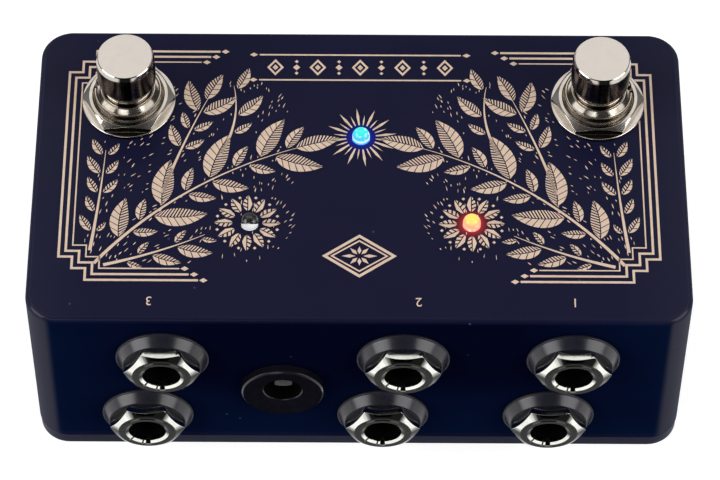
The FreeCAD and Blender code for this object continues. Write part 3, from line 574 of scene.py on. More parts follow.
def lit_lens(name, core, rim, spark, foot_share, centre):
    """A lamp's epoxy while it is lit: deeper in colour at the edge, with pale sparks and a pale foot."""
    finish = Finish(name, 0.10)
    radius = LAMP_RADIUS * MM
    edge = finish.spread(finish.from_axis(centre), radius * 0.55, radius * 1.02, kind="SMOOTHSTEP")
    sparks = finish.spread(finish.noise(0.75, 2.0), 0.55, 0.66)
    height = finish.parts(finish.place)["Z"]
    above = finish.spread(height, (PANEL + 0.2) * MM, (PANEL + 0.45) * MM)
    below = finish.spread(height, (PANEL + 0.95) * MM, (PANEL + 0.65) * MM, 0.0, foot_share)
    pale = finish.most(finish.times(sparks, 0.8), finish.times(above, below))
    finish.put("Base Color", scaled(rim, 0.3))
    finish.put("Emission Color", finish.mix(pale, finish.mix(edge, core, rim), spark))
    finish.put("Emission Strength", 1.0)
    return finish.material


# Footswitches


def footswitch_cap(side, finish):
    """The pressed button: flat top, rounded shoulder, tucked foot."""
    node = "footswitch_cap_" + side
    place, radius, bottom, top = on_panel(node)
    hole, hole_end = SPIGOT_RADIUS + 0.02, top - 1.2
    shape = Shape("button_cap_" + side)
    shape.turned(place, rounded([
        (0, top, 0),
        (radius - 0.42, top, 0.05),
        (radius - 0.28, top - 0.12, 0.12),
        (radius, top - 0.90, 0.9),
        (radius, bottom, 0.6),
        (hole, bottom, 0),
        (hole, hole_end, 0),
        (0, hole_end, 0),
    ], 8))
    shape.done([finish], "button_" + side, node)


def footswitch_stem(side, finish):
    """The sliding stem with its ringed neck, seen between the cap and the bushing."""
    node = "footswitch_stem_" + side
    place, collar_radius, bottom, top = on_panel(node)
    shoulder = on_panel("footswitch_cap_" + side)[2] - 0.02
    ring = on_panel("footswitch_bushing_" + side)[3] + 1.0
    waist, shaft, collar_top = STEM_RADIUS - 0.35, STEM_RADIUS - 0.05, bottom + 1.0
    shape = Shape("button_stem_" + side)
    shape.turned(place, rounded([
        (0, top, 0),
        (SPIGOT_RADIUS, top, 0.2),
        (SPIGOT_RADIUS, shoulder, 0),
        (STEM_RADIUS, shoulder, 0.1),
        (STEM_RADIUS, ring + 0.35, 0.12),
        (waist, ring + 0.25, 0.05),
        (waist, ring - 0.1, 0.05),
        (shaft, ring - 0.2, 0.1),
        (shaft, collar_top, 0),
        (collar_radius, collar_top, 0.1),
        (collar_radius, bottom, 0.1),
        (0, bottom, 0),
    ]))
    shape.done([finish], "button_" + side, node)


def return_spring(side, finish):
    """The round-wire spring under the stem. The share of its length that it would keep with the button down
    is worked out, but nothing shortens it.
    """
    node = "footswitch_spring_" + side
    low, high, centre = extent(node)
    wire, turns, steps, around = 0.3, 3.5, 24, 12
    radius = (high.x - low.x) / 2 - wire
    rise = (high.z - low.z - 2 * wire) / turns / FULL_TURN
    shape = Shape("return_spring_" + side)
    rings = []
    for k in range(int(turns * steps) + 1):
        turn = FULL_TURN * k / steps
        outward = Vector((math.cos(turn), math.sin(turn), 0))
        along = Vector((-radius * math.sin(turn), radius * math.cos(turn), rise)).normalized()
        across = along.cross(outward)
        middle = Vector((centre.x, centre.y, low.z + wire + rise * turn)) + radius * outward
        ring = []
        for j in range(around):
            angle = FULL_TURN * j / around
            point = middle + wire * (math.cos(angle) * outward + math.sin(angle) * across)
            ring.append(shape.mesh.verts.new(point * MM))
        rings.append(ring)
    for before, after in zip(rings, rings[1:]):
        for j in range(around):
            shape.mesh.faces.new((before[j - 1], before[j], after[j], after[j - 1]))
    shape.mesh.faces.new(rings[0])
    shape.mesh.faces.new(rings[-1][::-1])
    piece = shape.done([finish], "case", node)
    joint = next(j for j in frame["joints"] if j["name"] == side + "_press")
    keep = 1 - max(joint["range_m"]) / ((high.z - low.z) * MM)
    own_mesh(piece)


def footswitch_bushing(side, finish):
    """The threaded bushing: round nose with a keyway, thread run-out, and the plate inside the box."""
    node = "footswitch_bushing_" + side
    low, high, _ = extent(node)
    place, half_length, bottom, top = on_panel(node)
    half_depth = (high.y - low.y) / 2
    bore, thread, plate = 4.28, 5.9, 1.0
    root = thread - 0.34
    key_turn = math.radians(8 if side == "right" else 168)
    key_reach = math.asin(0.6 / thread)
    key_floor = 4.75

    def outline_at(turn):
        across = max(abs(math.cos(turn)) / half_length, abs(math.sin(turn)) / half_depth)
        points = rounded([
            (bore, bottom, 0),
            (bore, top, 0.18),
            (bore + 0.42, top, 0.3),
            (thread - 0.5, top - 0.75, 0.5),
            (thread, top - 1.7, 0.25),
            (thread, 2.62, 0.05),
            (root, 2.46, 0.05),
            (root, 2.40, 0.05),
            (thread, 2.26, 0.04),
            (thread, 2.20, 0.04),
            (root, 2.06, 0.05),
            (root, 2.00, 0.05),
            (thread, 1.86, 0.04),
            (thread, bottom + plate, 0),
            (1 / across, bottom + plate, 0.2),
            (1 / across, bottom, 0.2),
        ])
        if abs(off_turn(turn, key_turn)) >= key_reach:
            return points
        return [(min(p.x, key_floor) if p.y > bottom + 2 * plate else p.x, p.y) for p in points]

    shape = Shape("bushing_" + side)
    shape.sweep(place, round_turns(extra=slot_walls(key_turn, key_reach)), outline_at)
    shape.done([finish], "case", node)


def hex_ring(shape, place, flats, bore, low, high, face, bore_bevel):
    """A nut whose corners are chamfered at 30 degrees from a round face, with a bevelled bore."""

    def outline_at(turn):
        reach = hex_reach(turn, flats)
        return rounded([
            (bore, low, 0.05),
            (reach, low, 0.08),
            (reach, high - (reach - face) * CHAMFER_SLOPE, 0.06),
            (face, high, 0.08),
            (bore + bore_bevel, high, 0.05),
            (bore, high - bore_bevel, 0),
        ], 3)

    shape.sweep(place, hex_turns(), outline_at)


def footswitch_nuts(side, finish):
    """The plated nut on the panel, and the one that backs it inside."""
    node = "footswitch_nuts_" + side
    low, high, _ = extent(node)
    place, _, bottom, top = on_panel(node)
    flats, bore = high.y - low.y, 5.95
    shape = Shape("nuts_" + side)
    for foot, head in ((on_panel("footswitch_washer_" + side)[3], top), (bottom, bottom + 2.0)):
        hex_ring(shape, place, flats, bore, foot, head, flats / 2 - 0.22, 0.32)
    shape.done([finish], "case", node)


def footswitch_washer(side, finish):
    node = "footswitch_washer_" + side
    place, radius, bottom, top = on_panel(node)
    bore = 6.1
    shape = Shape("washer_" + side)
    outline = [(bore, bottom, 0.05), (radius, bottom, 0.05), (radius, top, 0.16), (bore, top, 0.05)]
    shape.turned(place, rounded(outline))
    shape.done([finish], "case", node)


# Jacks


def jack_place(name):
    """A jack's local frame: its axis on the wall, with the wall's plane at zero."""
    _, high, centre = extent("jack_bezel_" + name)
    return facing_front(centre.x, high.y, centre.z)


def jack_reach(node, name):
    """How far a jack's piece stands out from the wall at its rear and at its nose."""
    wall = extent("jack_bezel_" + name)[1].y
    low, high, _ = extent(node)
    return wall - high.y, wall - low.y


def jack_bezel(name, finish):
    """The black ring: a thin rim on the wall, a cone, and a narrow raised lip round the nut's seat."""
    node = "jack_bezel_" + name
    low, high, _ = extent(node)
    radius, depth = (high.x - low.x) / 2, high.y - low.y
    rim, lip, seat, hole = 0.4, radius - 1.25, depth - 0.16, 4.6
    shape = Shape("jack_ring_" + name)
    shape.turned(jack_place(name), rounded([
        (hole, 0, 0),
        (radius, 0, 0.05),
        (radius, rim, 0.12),
        (radius - 0.22, rim + 0.08, 0.08),
        (lip, depth, 0.12),
        (lip - 0.2, depth, 0.06),
        (lip - 0.3, seat, 0.05),
        (hole, seat, 0),
    ]))
    shape.done([finish], "case", node)


def jack_nut(name, finish):
    """A hexagon turned to a shallow cone in front, so that each flat ends in a curve."""
    node = "jack_nut_" + name
    low, high, _ = extent(node)
    rear, front = jack_reach(node, name)
    flats, seat, nose = high.z - low.z, rear - 0.14, front - 0.12
    bore, crown = 4.40, 4.95

    def outline_at(turn):
        reach = hex_reach(turn, flats)
        return rounded([
            (bore, seat, 0.03),
            (reach, seat, 0.08),
            (reach, nose - (reach - crown) * CHAMFER_SLOPE, 0.05),
            (crown, nose, 0.02),
            (bore, nose, 0),
        ], 4)

    shape = Shape("jack_nut_ring_" + name)
    shape.sweep(jack_place(name), hex_turns(), outline_at)
    shape.done([finish], "case", node)


def jack_sleeve(name, bright, dark):
    """The plated bush: a flat nose, a bevelled mouth with narrow slots, then the bore, black plastic made
    far darker than plastic as painted shade.
    """
    node = "jack_sleeve_" + name
    rear, nose = jack_reach(node, name)
    outer, mouth, bore, slot_floor = 4.38, 3.76, 3.22, 3.95
    mouth_end, bevel_end = nose - 1.2, nose - 0.25
    slots = [
        (math.radians(degrees), math.asin(half / mouth))
        for degrees, half in ((-90, 0.45), (-105, 0.14), (-140, 0.18))
    ]

    def outline_at(turn):
        in_slot = any(abs(off_turn(turn, middle)) < reach for middle, reach in slots)
        lip, throat = (slot_floor, slot_floor) if in_slot else (mouth, bore)
        return rounded([
            (bore, rear, 0),
            (bore, mouth_end, 0.01),
            (throat, mouth_end + 0.01, 0.01),
            (throat, bevel_end, 0.02),
            (lip, nose, 0.02),
            (outer, nose, 0),
            (outer, rear, 0),
        ])

    def inside(point, after):
        return max(point[0], after[0]) < slot_floor + 0.1 and max(point[1], after[1]) < mouth_end + 0.02

    walls = [wall for slot in slots for wall in slot_walls(*slot)]
    shape = Shape("jack_bush_" + name)
    shape.sweep(jack_place(name), round_turns(extra=walls), outline_at, inside)
    shape.done([bright, dark], "case", node)


# Power inlet


def inlet_body(finish, dark):
    """The round flange with its fine front edge, and the socket behind it with the contact's channel."""
    node = "inlet_housing"
    place, flange, length = on_front(node)
    barrel, bore, flange_thick, dish, strip_start, channel = 5.6, 3.25, 1.65, 0.75, 3.58, 3.75
    channel_turn, channel_reach = math.radians(-90), math.asin(1.72 / channel)

    def outline_at(turn):
        back = channel if abs(off_turn(turn, channel_turn)) < channel_reach else bore
        return rounded([
            (0, -length, 0),
            (barrel, -length, 0.2),
            (barrel, -flange_thick, 0),
            (flange, -flange_thick, 0.05),
            (flange, -0.30, 0.12),
            (flange - 0.30, 0, 0.12),
            (flange - 0.62, -0.06, 0.10),
            (bore + 0.32, -dish, 0.15),
            (bore + 0.16, -dish, 0.05),
            (bore, -dish - 0.16, 0.05),
            (bore, -strip_start, 0.01),
            (back, -strip_start - 0.01, 0.01),
            (back, -INLET_BORE_DEPTH + 0.01, 0.01),
            (0, -INLET_BORE_DEPTH, 0),
        ])

    def inside(point, after):
        return max(point[0], after[0]) < channel + 0.01 and max(point[1], after[1]) < -dish - 0.1

    shape = Shape("inlet_socket")
    shape.sweep(place, round_turns(extra=slot_walls(channel_turn, channel_reach)), outline_at, inside)
    shape.done([finish, dark], "case", node)


def inlet_pin(finish):
    node = "inlet_pin"
    place, radius, length = on_front(node)
    root = 0.8
    floor_depth = extent("inlet_housing")[0].y + INLET_BORE_DEPTH - extent(node)[0].y
    shape = Shape("inlet_centre_pin")
    shape.turned(place, rounded([
        (0, -length, 0),
        (root, -length, 0.1),
        (root, -floor_depth, 0),
        (radius, -floor_depth, 0),
        (radius, 0, 0.35),
        (0, 0, 0),
    ]), 64)
    shape.done([finish], "case", node)


# Lamps


def lamp_lens(name, finish):
    """The round-nosed epoxy body with its rim."""
    node = "lamp_lens_" + name
    place, rim, bottom, top = on_panel(node)
    rim_top, spring_line = bottom + 1.0, top - LAMP_RADIUS
    dome = []
    for step in range(11):
        angle = math.radians(9 * step)
        dome.append(Vector((LAMP_RADIUS * math.sin(angle), spring_line + LAMP_RADIUS * math.cos(angle))))
    lower = rounded([(LAMP_RADIUS, rim_top, 0), (rim, rim_top, 0.1), (rim, bottom, 0.1), (0, bottom, 0)])
    shape = Shape("lamp_" + name)
    shape.turned(place, dome + lower, 72)
    shape.done([finish], "case", node, 60)


def lamp_frame(name, finish):
    """The two flat posts inside a lamp, one with the cup that holds the die."""
    place, _, base, _ = on_panel("lamp_lens_" + name)
    cup_top = base + 2.7
    shape = Shape("lamp_frame_" + name)
    for left, right, half, top in ((-0.7, 0.35, 0.25, cup_top - 0.6), (0.55, 0.95, 0.2, cup_top - 0.2)):
        shape.prism([(left, -half), (right, -half), (right, half), (left, half)], base + 0.1, top, place)
    cup = rounded([
        (0, cup_top - 0.6, 0),
        (0.45, cup_top - 0.6, 0.05),
        (0.62, cup_top, 0.03),
        (0.5, cup_top, 0.03),
        (0.25, cup_top - 0.35, 0.05),
        (0, cup_top - 0.35, 0),
    ])
    shape.turned(place @ Matrix.Translation((-0.2, 0, 0)), cup, 36)
    shape.done([finish], "case")


def lamp_reflector(name, finish):
    """The pale half-round reflector in front of the die."""
    radius, gap, sunk, rise = 1.3, 0.30, -1.0, 0.35
    half = []
    for step in range(19):
        angle = math.radians(180 + 10 * step)
        half.append((radius * math.cos(angle), -gap + radius * math.sin(angle) * (1 - gap / radius)))
    shape = Shape("lamp_reflector_" + name)
    shape.prism(half, sunk, rise, on_panel("lamp_lens_" + name)[0])
    shape.done([finish], "case")


# Print on the panel: a leafy spray on each side, pinstripes, ornaments in the middle and numerals
PRINT_LOW = -0.01
PRINT_HIGH = 0.025
CELL = 0.4
NUMERALS = (("1", 36.0), ("2", 9.95), ("3", -35.1))
NUMERAL_LINE = -25.9
NUMERAL_HEIGHT = 1.75
FONT_SIZE_PER_HEIGHT = 1.38


def stripe(points, width):
    """The outline of a line of constant width through points, mitred at its bends."""
    points = [Vector(point) for point in points]
    headings = [(after - before).normalized() for before, after in zip(points, points[1:])]
    left, right = [], []
    for point, before, after in zip(points, headings[:1] + headings, headings + headings[-1:]):
        normal = Vector((-(before + after).y, (before + after).x)).normalized()
        offset = normal * (width / 2 / max(normal.dot(Vector((-after.y, after.x))), 0.3))
        left.append(point + offset)
        right.append(point - offset)
    return left + right[::-1]


def spine(start, heading, length, bend):
    """A gently curved line: a function that gives the point at a share of its length, off to the left."""
    bend = bend if abs(bend) > LEAST_BEND else LEAST_BEND
    radius = length / bend

    def at(share, off=0.0):
        turn = heading + bend * share
        along = Vector((math.sin(turn) - math.sin(heading), math.cos(heading) - math.cos(turn))) * radius
        return Vector(start) + along + Vector((-math.sin(turn), math.cos(turn))) * off

    return at


def leaf_half(at, width, side, cuts, filled):
    """One half of a leaf as slanted strips with narrow dark gaps between them."""
    rib, slant = 0.09, 0.10

    def half_width(share):
        return width * math.sin(math.pi * min(share, 1.0) ** 0.78) ** 0.85

    strips = []
    for k in range(cuts):
        start, end = k / cuts, (k + filled) / cuts
        inner, outer = [], []
        for step in range(4):
            share = start + (end - start) * step / 3
            inner.append(at(share, side * rib))
            reach = min(share + slant, 1.0)
            outer.append(at(reach, side * max(half_width(reach), rib + 0.02)))
        strips.append(inner + outer[::-1])
    return strips


class Panel:
    """The print being laid out, with the ground that it has already taken."""

    def __init__(self, seed):
        self.outlines = []
        self.taken = set()
        self.random = random.Random(seed)

    def cells_of(self, points):
        return {(round(p[0] / CELL), round(p[1] / CELL)) for p in points}

    def free(self, points):
        return not (self.cells_of(points) & self.taken)

    def take(self, points, margin=1):
        reach = range(-margin, margin + 1)
        self.taken |= {(x + dx, y + dy) for x, y in self.cells_of(points) for dx in reach for dy in reach}

    def add(self, outline):
        self.outlines.append(outline)

    def block_circle(self, centre, radius):
        steps = range(-int(radius / CELL) - 1, int(radius / CELL) + 2)
        grid = [Vector((i, j)) * CELL for i in steps for j in steps]
        self.take([Vector(centre) + offset for offset in grid if offset.length < radius], 0)

    def block_box(self, low, high):
        across, along = (range(int((high[k] - low[k]) / CELL) + 1) for k in (0, 1))
        self.take([(low[0] + i * CELL, low[1] + j * CELL) for i in across for j in along], 0)

    def lozenge_rim(self, outer, inner):
        """Four bars between an outer and an inner lozenge."""
        for j in range(4):
            after = (j + 1) % 4
            self.add([outer[j], outer[after], inner[after], inner[j]])

    def leaf(self, start, heading, length, bend, lit):
        """Tries a leaf at full length, then shorter, and keeps the first that fits."""
        for size in (1.0, 0.82, 0.66, 0.5):
            span = length * size
            if span < 2.0:
                return
            width = span * 0.20
            at = spine(start, heading, span, bend)
            body = [at(k / 14, off * width) for k in range(3, 15) for off in (-0.9, -0.45, 0, 0.45, 0.9)]
            if not self.free(body):
                continue
            self.take(body)
            for side in (-1, 1):
                full = side == lit
                cuts = max(3, round(span / (1.15 if full else 0.55)))
                for strip in leaf_half(at, width, side, cuts, 0.86 if full else 0.5):
                    self.add(strip)
            return

    def branch(self, start, heading, length, bend, leaves, leaf_length, spread):
        """A tapering stem with leaves in pairs and one at its tip. Angles are in degrees."""
        heading, bend, spread = (math.radians(angle) for angle in (heading, bend, spread))
        at = spine(start, heading, length, bend)
        steps = 18
        left = [at(k / steps, 0.26 * (1.15 - k / steps)) for k in range(steps + 1)]
        right = [at(k / steps, -0.26 * (1.15 - k / steps)) for k in range(steps + 1)]
        self.add(left + right[::-1])
        self.take([at(k / (4 * steps)) for k in range(4 * steps + 1)], 0)
        self.leaf(at(1.0) + Vector((0.2, 0)), heading + bend, leaf_length * 0.8, 0.1, 1)
        for k in range(leaves):
            share = 0.10 + 0.86 * (1 - k / leaves)
            grow = 0.62 + 0.38 * math.sin(math.pi * (0.15 + 0.8 * (1 - share)))
            for side in (-1, 1):
                turn = heading + bend * share + side * (spread + self.random.uniform(-0.08, 0.08))
                self.leaf(at(share, side * 0.55), turn, leaf_length * grow, -side * 0.45, side)


def spray(panel):
    """The right-hand spray: a blossom round the lamp, branches from the outer corner, loose strokes."""
    switch = middle_of("footswitch_cap_right")
    lamp = middle_of("lamp_lens_right")
    panel.block_circle((switch.x, switch.y), 8.5)
    panel.block_box((23.0, -25.0), (46.6, -19.5))
    blossom(panel, lamp, 2.5, 5.6, 12)
    panel.block_circle((lamp.x, lamp.y), 6.0)
    # Foot, heading, length, bend, pairs of leaves, length of a leaf, spread
    for branch in (
        ((44.6, -18.6), 128, 42.0, 34, 15, 9.6, 52),
        ((43.0, -18.9), 166, 18.0, -12, 7, 6.2, 48),
        ((45.4, -16.0), 97, 20.5, -4, 9, 5.4, 46),
        ((33.6, -4.4), 106, 21.0, 8, 9, 7.4, 50),
        ((24.0, 3.6), 118, 15.0, -40, 7, 5.8, 50),
    ):
        panel.branch(*branch)
    strokes(panel, (11.0, 46.6), (-18.6, 18.6), 1400)


def blossom(panel, centre, inner, outer, petals):
    """A ring of petals, each split down its middle, round a lamp."""
    middle = Vector((centre.x, centre.y))
    for k in range(petals):
        turn = FULL_TURN * k / petals
        start = middle + Vector((math.cos(turn), math.sin(turn))) * inner
        at = spine(start, turn, outer - inner, 0.0)
        for side, cuts, filled in ((1, 1, 0.97), (-1, 4, 0.62)):
            for strip in leaf_half(at, 0.78, side, cuts, filled):
                panel.add(strip)
        between = turn + FULL_TURN / petals / 2
        dot = middle + Vector((math.cos(between), math.sin(between))) * (outer - 0.35)
        panel.add(lozenge(dot, 0.3, 0.3))


def lozenge(centre, half_wide, half_tall):
    x, y = centre
    return [(x + half_wide, y), (x, y + half_tall), (x - half_wide, y), (x, y - half_tall)]


def strokes(panel, across, along, tries):
    """Short tapered strokes near the leaves, thinning out away from them."""
    draw = panel.random
    leafy = set(panel.taken)
    for _ in range(tries):
        point = Vector((draw.uniform(*across), draw.uniform(*along)))
        x, y = (round(c / CELL) for c in point)
        reach = draw.choice((3, 4, 5, 7))
        if not leafy & {(x + reach, y), (x - reach, y), (x, y + reach), (x, y - reach)}:
            continue
        heading = math.radians(118) + 0.5 * math.sin(point.x * 0.23) + draw.uniform(-0.25, 0.25)
        length = draw.uniform(0.35, 1.15)
        width = draw.uniform(0.05, 0.10)
        at = spine(point, heading, length, draw.uniform(-0.3, 0.3))
        shape = ((0, 0), (0.35, -width), (0.7, -width * 0.8), (1, 0), (0.7, width * 0.8), (0.35, width))
        outline = [at(share, off) for share, off in shape]
        if panel.free(outline):
            panel.take(outline, 0)
            panel.add(outline)


def pinstripes(panel):
    """The right-hand frame: three stripes with stepped corners, ending in lozenges."""
    step = 2.3
    for inset, width, reach in ((0.0, 0.42, 0.0), (1.15, 0.42, 1.6), (2.3, 0.24, 3.2)):
        x = 50.6 - inset
        paths = []
        for corner, rise, end in ((20.9 - inset, step, 24.5), (-17.3 + inset, -step, 27.0)):
            paths.append([
                (x, 0), (x, corner), (x - step, corner), (x - step, corner + rise),
                (x - 2 * step, corner + rise), (x - 2 * step, corner + 2 * rise),
                (end + reach, corner + 2 * rise),
            ])
        rear_path, front_path = paths
        panel.add(stripe(rear_path[::-1] + front_path[1:], width))
        for path in paths:
            panel.add(lozenge(Vector(path[-1]) + Vector((-0.9, 0)), 0.7, 0.45))


def centre_piece(panel):
    """Sunburst round the centre lamp, of long and short rays in turn."""
    lamp = middle_of("lamp_lens_centre")
    inner, rays = 2.55, 24
    for k in range(rays):
        outer, half = (4.7, 0.14) if k % 2 else (6.1, 0.24)
        at = spine((lamp.x, lamp.y), FULL_TURN * (k + 0.5) / rays, outer, 0.0)
        start = inner / outer
        panel.add([at(start, -half * 0.5), at(0.72, -half), at(1.0), at(0.72, half), at(start, half * 0.5)])


def ornament_band(panel):
    """A row of open lozenges between two rules, behind the lamp."""
    middle, pitch, rule = 22.2, 3.7, 17.6
    for k in range(-4, 5):
        x = k * pitch
        if k % 2:
            panel.add(lozenge((x, middle), 0.62, 0.62))
            for side in (-1, 1):
                panel.add(lozenge((x, middle + side * 1.25), 0.34, 0.34))
        else:
            panel.lozenge_rim(lozenge((x, middle), 1.45, 1.75), lozenge((x, middle), 0.98, 1.18))
            panel.add(lozenge((x, middle), 0.5, 0.6))
    for y in (middle + 2.7, middle - 2.7):
        panel.add(stripe([(-rule, y), (rule, y)], 0.3))
        for side in (-1, 1):
            panel.add(lozenge((side * (rule + 1.0), y), 0.7, 0.42))


def rosette(panel):
    """Nested lozenges round an eight-pointed star, in front of the lamps."""
    middle = (0.0, -16.9)
    for half_wide, half_tall, rim in ((6.3, 4.3, 0.5), (4.9, 3.2, 0.28)):
        inner = lozenge(middle, half_wide - rim * 1.75, half_tall - rim * 1.2)
        panel.lozenge_rim(lozenge(middle, half_wide, half_tall), inner)
    points = (3.0, 2.2, 1.9, 2.2)
    for k in range(8):
        at = spine(middle, FULL_TURN * k / 8, points[k % 4], 0.0)
        panel.add([at(0.22), at(0.55, -0.34), at(1.0), at(0.55, 0.34)])


def mirrored(outlines):
    return [[(-x, y) for x, y in outline][::-1] for outline in outlines]


def counter_clockwise(outline):
    area = sum(a[0] * b[1] - b[0] * a[1] for a, b in zip(outline, outline[1:] + outline[:1]))
    return outline if area > 0 else outline[::-1]


def print_piece(name, outlines, finish):
    shape = Shape(name)
    for outline in outlines:
        points = counter_clockwise([(p[0], p[1]) for p in outline])
        shape.prism(points, PRINT_LOW, PRINT_HIGH, upright(0, 0))
    shape.done([finish], "case")


def numeral(text, x, finish):
    """A plain numeral beside a pair of jacks, read from behind the pedal."""
    curve = bpy.data.curves.new("numeral_" + text, "FONT")
    curve.body = text
    curve.size = NUMERAL_HEIGHT * FONT_SIZE_PER_HEIGHT * MM
    curve.align_x = "CENTER"
    curve.align_y = "CENTER"
    curve.extrude = (PRINT_HIGH - PRINT_LOW) / 2 * MM
    source = placed("numeral_source", curve)
    bpy.context.view_layer.update()
    data = bpy.data.meshes.new_from_object(source.evaluated_get(bpy.context.evaluated_depsgraph_get()))
    bpy.data.objects.remove(source)
    place = Matrix.Translation(Vector((x, NUMERAL_LINE, PANEL + (PRINT_HIGH + PRINT_LOW) / 2)) * MM)
    data.transform(place @ Matrix.Rotation(math.pi, 4, "Z"))
    data.materials.clear()
    data.materials.append(finish)
    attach(placed("numeral_" + text, data), "case")


def panel_print(finish):
    right = Panel(7)
    spray(right)
    print_piece("print_spray_right", right.outlines, finish)
    print_piece("print_spray_left", mirrored(right.outlines), finish)
    frame_side = Panel(1)
    pinstripes(frame_side)
    print_piece("print_stripes", frame_side.outlines + mirrored(frame_side.outlines), finish)
    middle = Panel(2)
    centre_piece(middle)
    ornament_band(middle)
    rosette(middle)
    print_piece("print_middle", middle.outlines, finish)
    for text, x in NUMERALS:
        numeral(text, x, finish)


# Studio


def from_angles(azimuth, elevation, distance):
    """A place seen at an azimuth from the front (-Y, turning to the right) and an elevation."""
    a, e = math.radians(azimuth), math.radians(elevation)
    return Vector((math.sin(a) * math.cos(e), -math.cos(a) * math.cos(e), math.sin(e))) * distance


def softbox(name, azimuth, elevation, width, height, radiance, tint=(1, 1, 1)):
    """A rectangular lamp, aimed at the object, that shows this radiance in a mirror."""
    light = bpy.data.lights.new(name, "AREA")
    light.shape = "RECTANGLE"
    light.size, light.size_y = width * MM, height * MM
    light.energy = radiance * math.pi * light.size * light.size_y
    light.color = tint
    lamp = placed(name, light)
    place = from_angles(azimuth, elevation, LAMP_DISTANCE)
    lamp.visible_camera = False
    lamp.location = place * MM
    lamp.rotation_mode = "QUATERNION"
    lamp.rotation_quaternion = (LAMP_TARGET - place).normalized().to_track_quat("-Z", "Y")


def studio_lamps():
    softbox("rear_top", 180, 60, 1300, 800, 0.67, (1.0, 0.985, 0.965))
    softbox("side_left", -68, 28, 600, 620, 4.0)
    softbox("side_right", 66, 28, 660, 620, 3.4)
    softbox("front_left", -20, 33, 420, 240, 1.6)


def studio_world():
    """Dim surroundings, dark in front of the object and towards the horizon."""
    world = bpy.data.worlds.new("studio")
    world.use_nodes = True
    bpy.context.scene.world = world
    tree = world.node_tree
    background = tree.nodes["Background"]
    texture = tree.nodes.new("ShaderNodeTexCoord")
    split = tree.nodes.new("ShaderNodeSeparateXYZ")
    tree.links.new(texture.outputs["Generated"], split.inputs[0])
    ramp = tree.nodes.new("ShaderNodeValToRGB")
    horizon, overhead = ramp.color_ramp.elements
    horizon.position, horizon.color = 0.0, (0.10, 0.10, 0.11, 1)
    overhead.position, overhead.color = 0.9, (0.32, 0.32, 0.33, 1)
    tree.links.new(split.outputs["Z"], ramp.inputs[0])
    tree.links.new(ramp.outputs[0], background.inputs["Color"])
    ahead = tree.nodes.new("ShaderNodeMapRange")
    for socket, value in ((1, -0.35), (2, 0.05), (3, 0.15), (4, 1.0)):
        ahead.inputs[socket].default_value = value
    tree.links.new(split.outputs["Y"], ahead.inputs[0])
    tree.links.new(ahead.outputs[0], background.inputs["Strength"])


def floor():
    """A pale floor that reads white to the camera and in reflections, and keeps a soft shadow."""
    disc = bmesh.new()
    bmesh.ops.create_circle(disc, cap_ends=True, segments=64, radius=FLOOR_RADIUS * MM)
    data = bpy.data.meshes.new("floor")
    disc.to_mesh(data)
    disc.free()
    finish = Finish("floor_paper", 0.9, specular=0.0)
    finish.put("Base Color", finish.mix(finish.noise(40.0), FLOOR_WHITE, scaled(FLOOR_WHITE, 0.97)))
    path = finish.tree.nodes.new("ShaderNodeLightPath").outputs
    seen = finish.most(path["Is Camera Ray"], path["Is Glossy Ray"], path["Is Transmission Ray"])
    finish.put("Emission Color", (1.0, 1.0, 1.0))
    finish.put("Emission Strength", finish.times(seen, FLOOR_GLOW))
    data.materials.append(finish.material)
    placed("floor", data)


def camera():
    back = from_angles(CAMERA_AZIMUTH, CAMERA_ELEVATION, 1)
    azimuth, roll = math.radians(CAMERA_AZIMUTH), math.radians(CAMERA_ROLL)
    level = Vector((math.cos(azimuth), math.sin(azimuth), 0))
    raised = back.cross(level)
    right = level * math.cos(roll) + raised * math.sin(roll)
    up = raised * math.cos(roll) - level * math.sin(roll)
    data = bpy.data.cameras.new("camera")
    data.sensor_width = SENSOR_WIDTH
    data.lens = CAMERA_FOCAL_PIXELS * SENSOR_WIDTH / IMAGE_WIDTH
    data.clip_start, data.clip_end = 0.05, 30.0
    view = placed("camera", data)
    axes = Matrix((right, up, back)).transposed().to_4x4()
    view.matrix_world = Matrix.Translation((CAMERA_TARGET + back * CAMERA_DISTANCE) * MM) @ axes
    bpy.context.scene.camera = view


def dress_nodes(finishes):
    """Gives each CAD node that no mesh replaces its finish, and smooths its round faces."""
    worn = {
        "coat": ("enclosure",),
        "plate": ("base_plate",),
        "zinc": ("base_screws", "footswitch_lock_washers"),
        "black": ("board_parts", "footswitch_housing", "jack_housing"),
        "board": ("circuit_board",),
        "tinned": ("footswitch_contact", "footswitch_terminals", "jack_contacts", "lamp_legs"),
        "wire": ("inlet_leads",),
        "strip": ("inlet_lugs",),
        "nickel": ("inlet_nut",),
        "white": ("lamp_spacers", "relays"),
    }
    for name, piece in frame["nodes"].items():
        if piece.hide_render:
            continue
        finish = next(finishes[kind] for kind, nodes in worn.items() if name.startswith(nodes))
        piece.data.materials.clear()
        piece.data.materials.append(finish)
        weld = piece.modifiers.new("weld", "WELD")
        weld.merge_threshold = 0.002 * MM
        split = piece.modifiers.new("sharp edges", "EDGE_SPLIT")
        split.split_angle = math.radians(32)
        piece.data.shade_smooth()
        keep_flats(piece)


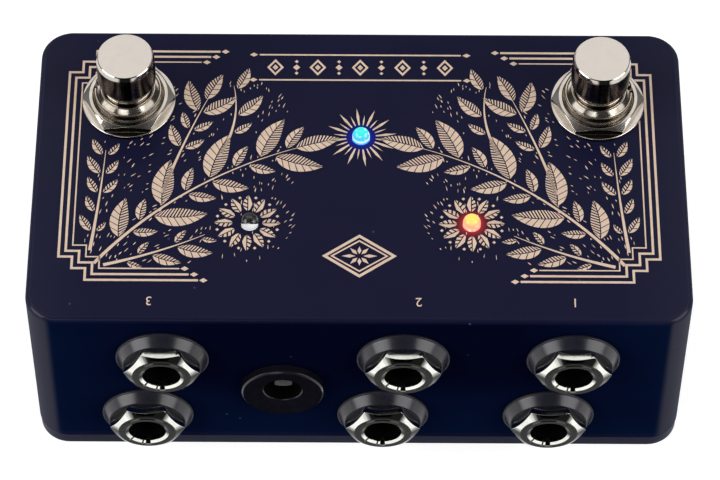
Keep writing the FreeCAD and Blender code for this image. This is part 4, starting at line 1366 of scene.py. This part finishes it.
def main():
    bpy.context.scene.view_settings.view_transform = "Standard"
    camera()
    studio_world()
    studio_lamps()
    floor()
    # These nickel finishes carry painted dark reflections and painted shade, made from the way their
    # surfaces face.
    polished = plated("nickel_polished", NICKEL, scaled(NICKEL, 0.96), 0.08, 0.002, painted_side_streaks, 0.10)
    turned = plated("nickel_turned", NICKEL, NICKEL_DULL, 0.12, 0.006, painted_front_reflection)
    nose_plating = plated("nickel_nose", NICKEL, NICKEL_WORN, 0.14, 0.006, painted_nose_shade)
    nut_plating = plated("nickel_jack_nut", JACK_NICKEL, JACK_NICKEL_DULL, 0.10, 0.004, painted_cone_reflection)
    bush_plating = plated("nickel_bush", JACK_NICKEL, JACK_NICKEL_DULL, 0.12, 0.003, painted_forward_reflection)
    finishes = {
        "coat": powder_coat(),
        "plate": plate_coat(),
        "zinc": plated("zinc_steel", ZINC, scaled(ZINC, 0.8), 0.3),
        "black": moulded("black_moulded", BLACK_MOULDED, 0.5),
        "white": moulded("white_moulded", WHITE_MOULDED, 0.45),
        "board": moulded("board_mask", BOARD_GREEN, 0.35),
        "wire": moulded("wire_insulation", WIRE_RED, 0.5),
        "tinned": plated("tinned_brass", TINNED, scaled(TINNED, 0.85), 0.25),
        "strip": moulded("inlet_strip", STRIP_GREY, 0.4, 0.5, 0.8),
        "nickel": turned,
    }
    satin = moulded("bezel_satin", BLACK_SATIN, 0.30, 0.05, 0.25, 0.010, 1.0)
    # Black plastic inside the jacks' and the inlet's bores, made far darker than plastic: painted shade
    # deep in the bores.
    bore_black_painted_shade = moulded("bore_black_painted_shade", BORE_BLACK_PAINTED_SHADE, 0.7, 0.05)
    inlet_black = moulded("inlet_black", BLACK_MOULDED, 0.45, 0.0, 0.3, 0.006, 1.0)
    for side in SIDES:
        footswitch_cap(side, polished)
        footswitch_stem(side, turned)
        return_spring(side, finishes["zinc"])
        footswitch_bushing(side, nose_plating)
        footswitch_nuts(side, turned)
        footswitch_washer(side, turned)
    for name in JACKS:
        jack_bezel(name, satin)
        jack_nut(name, nut_plating)
        jack_sleeve(name, bush_plating, bore_black_painted_shade)
    inlet_body(inlet_black, bore_black_painted_shade)
    inlet_pin(finishes["tinned"])
    lamp_lens("left", clear_lens("lens_clear", (0.95, 0.96, 0.97)))
    lamp_lens("centre", lit_lens("lens_blue", *BLUE_LENS, 1.0, middle_of("lamp_lens_centre")))
    lamp_lens("right", lit_lens("lens_red", *RED_LENS, 0.3, middle_of("lamp_lens_right")))
    lamp_frame("left", finishes["tinned"])
    # The reflector's finish glows with painted light, for the light that the lens gathers onto it.
    lamp_reflector("left", moulded("reflector_white_painted_glow", REFLECTOR_WHITE, 0.4, 0.5, 0.4, painted_glow=0.5))
    panel_print(printed_ink())
    dress_nodes(finishes)


main()
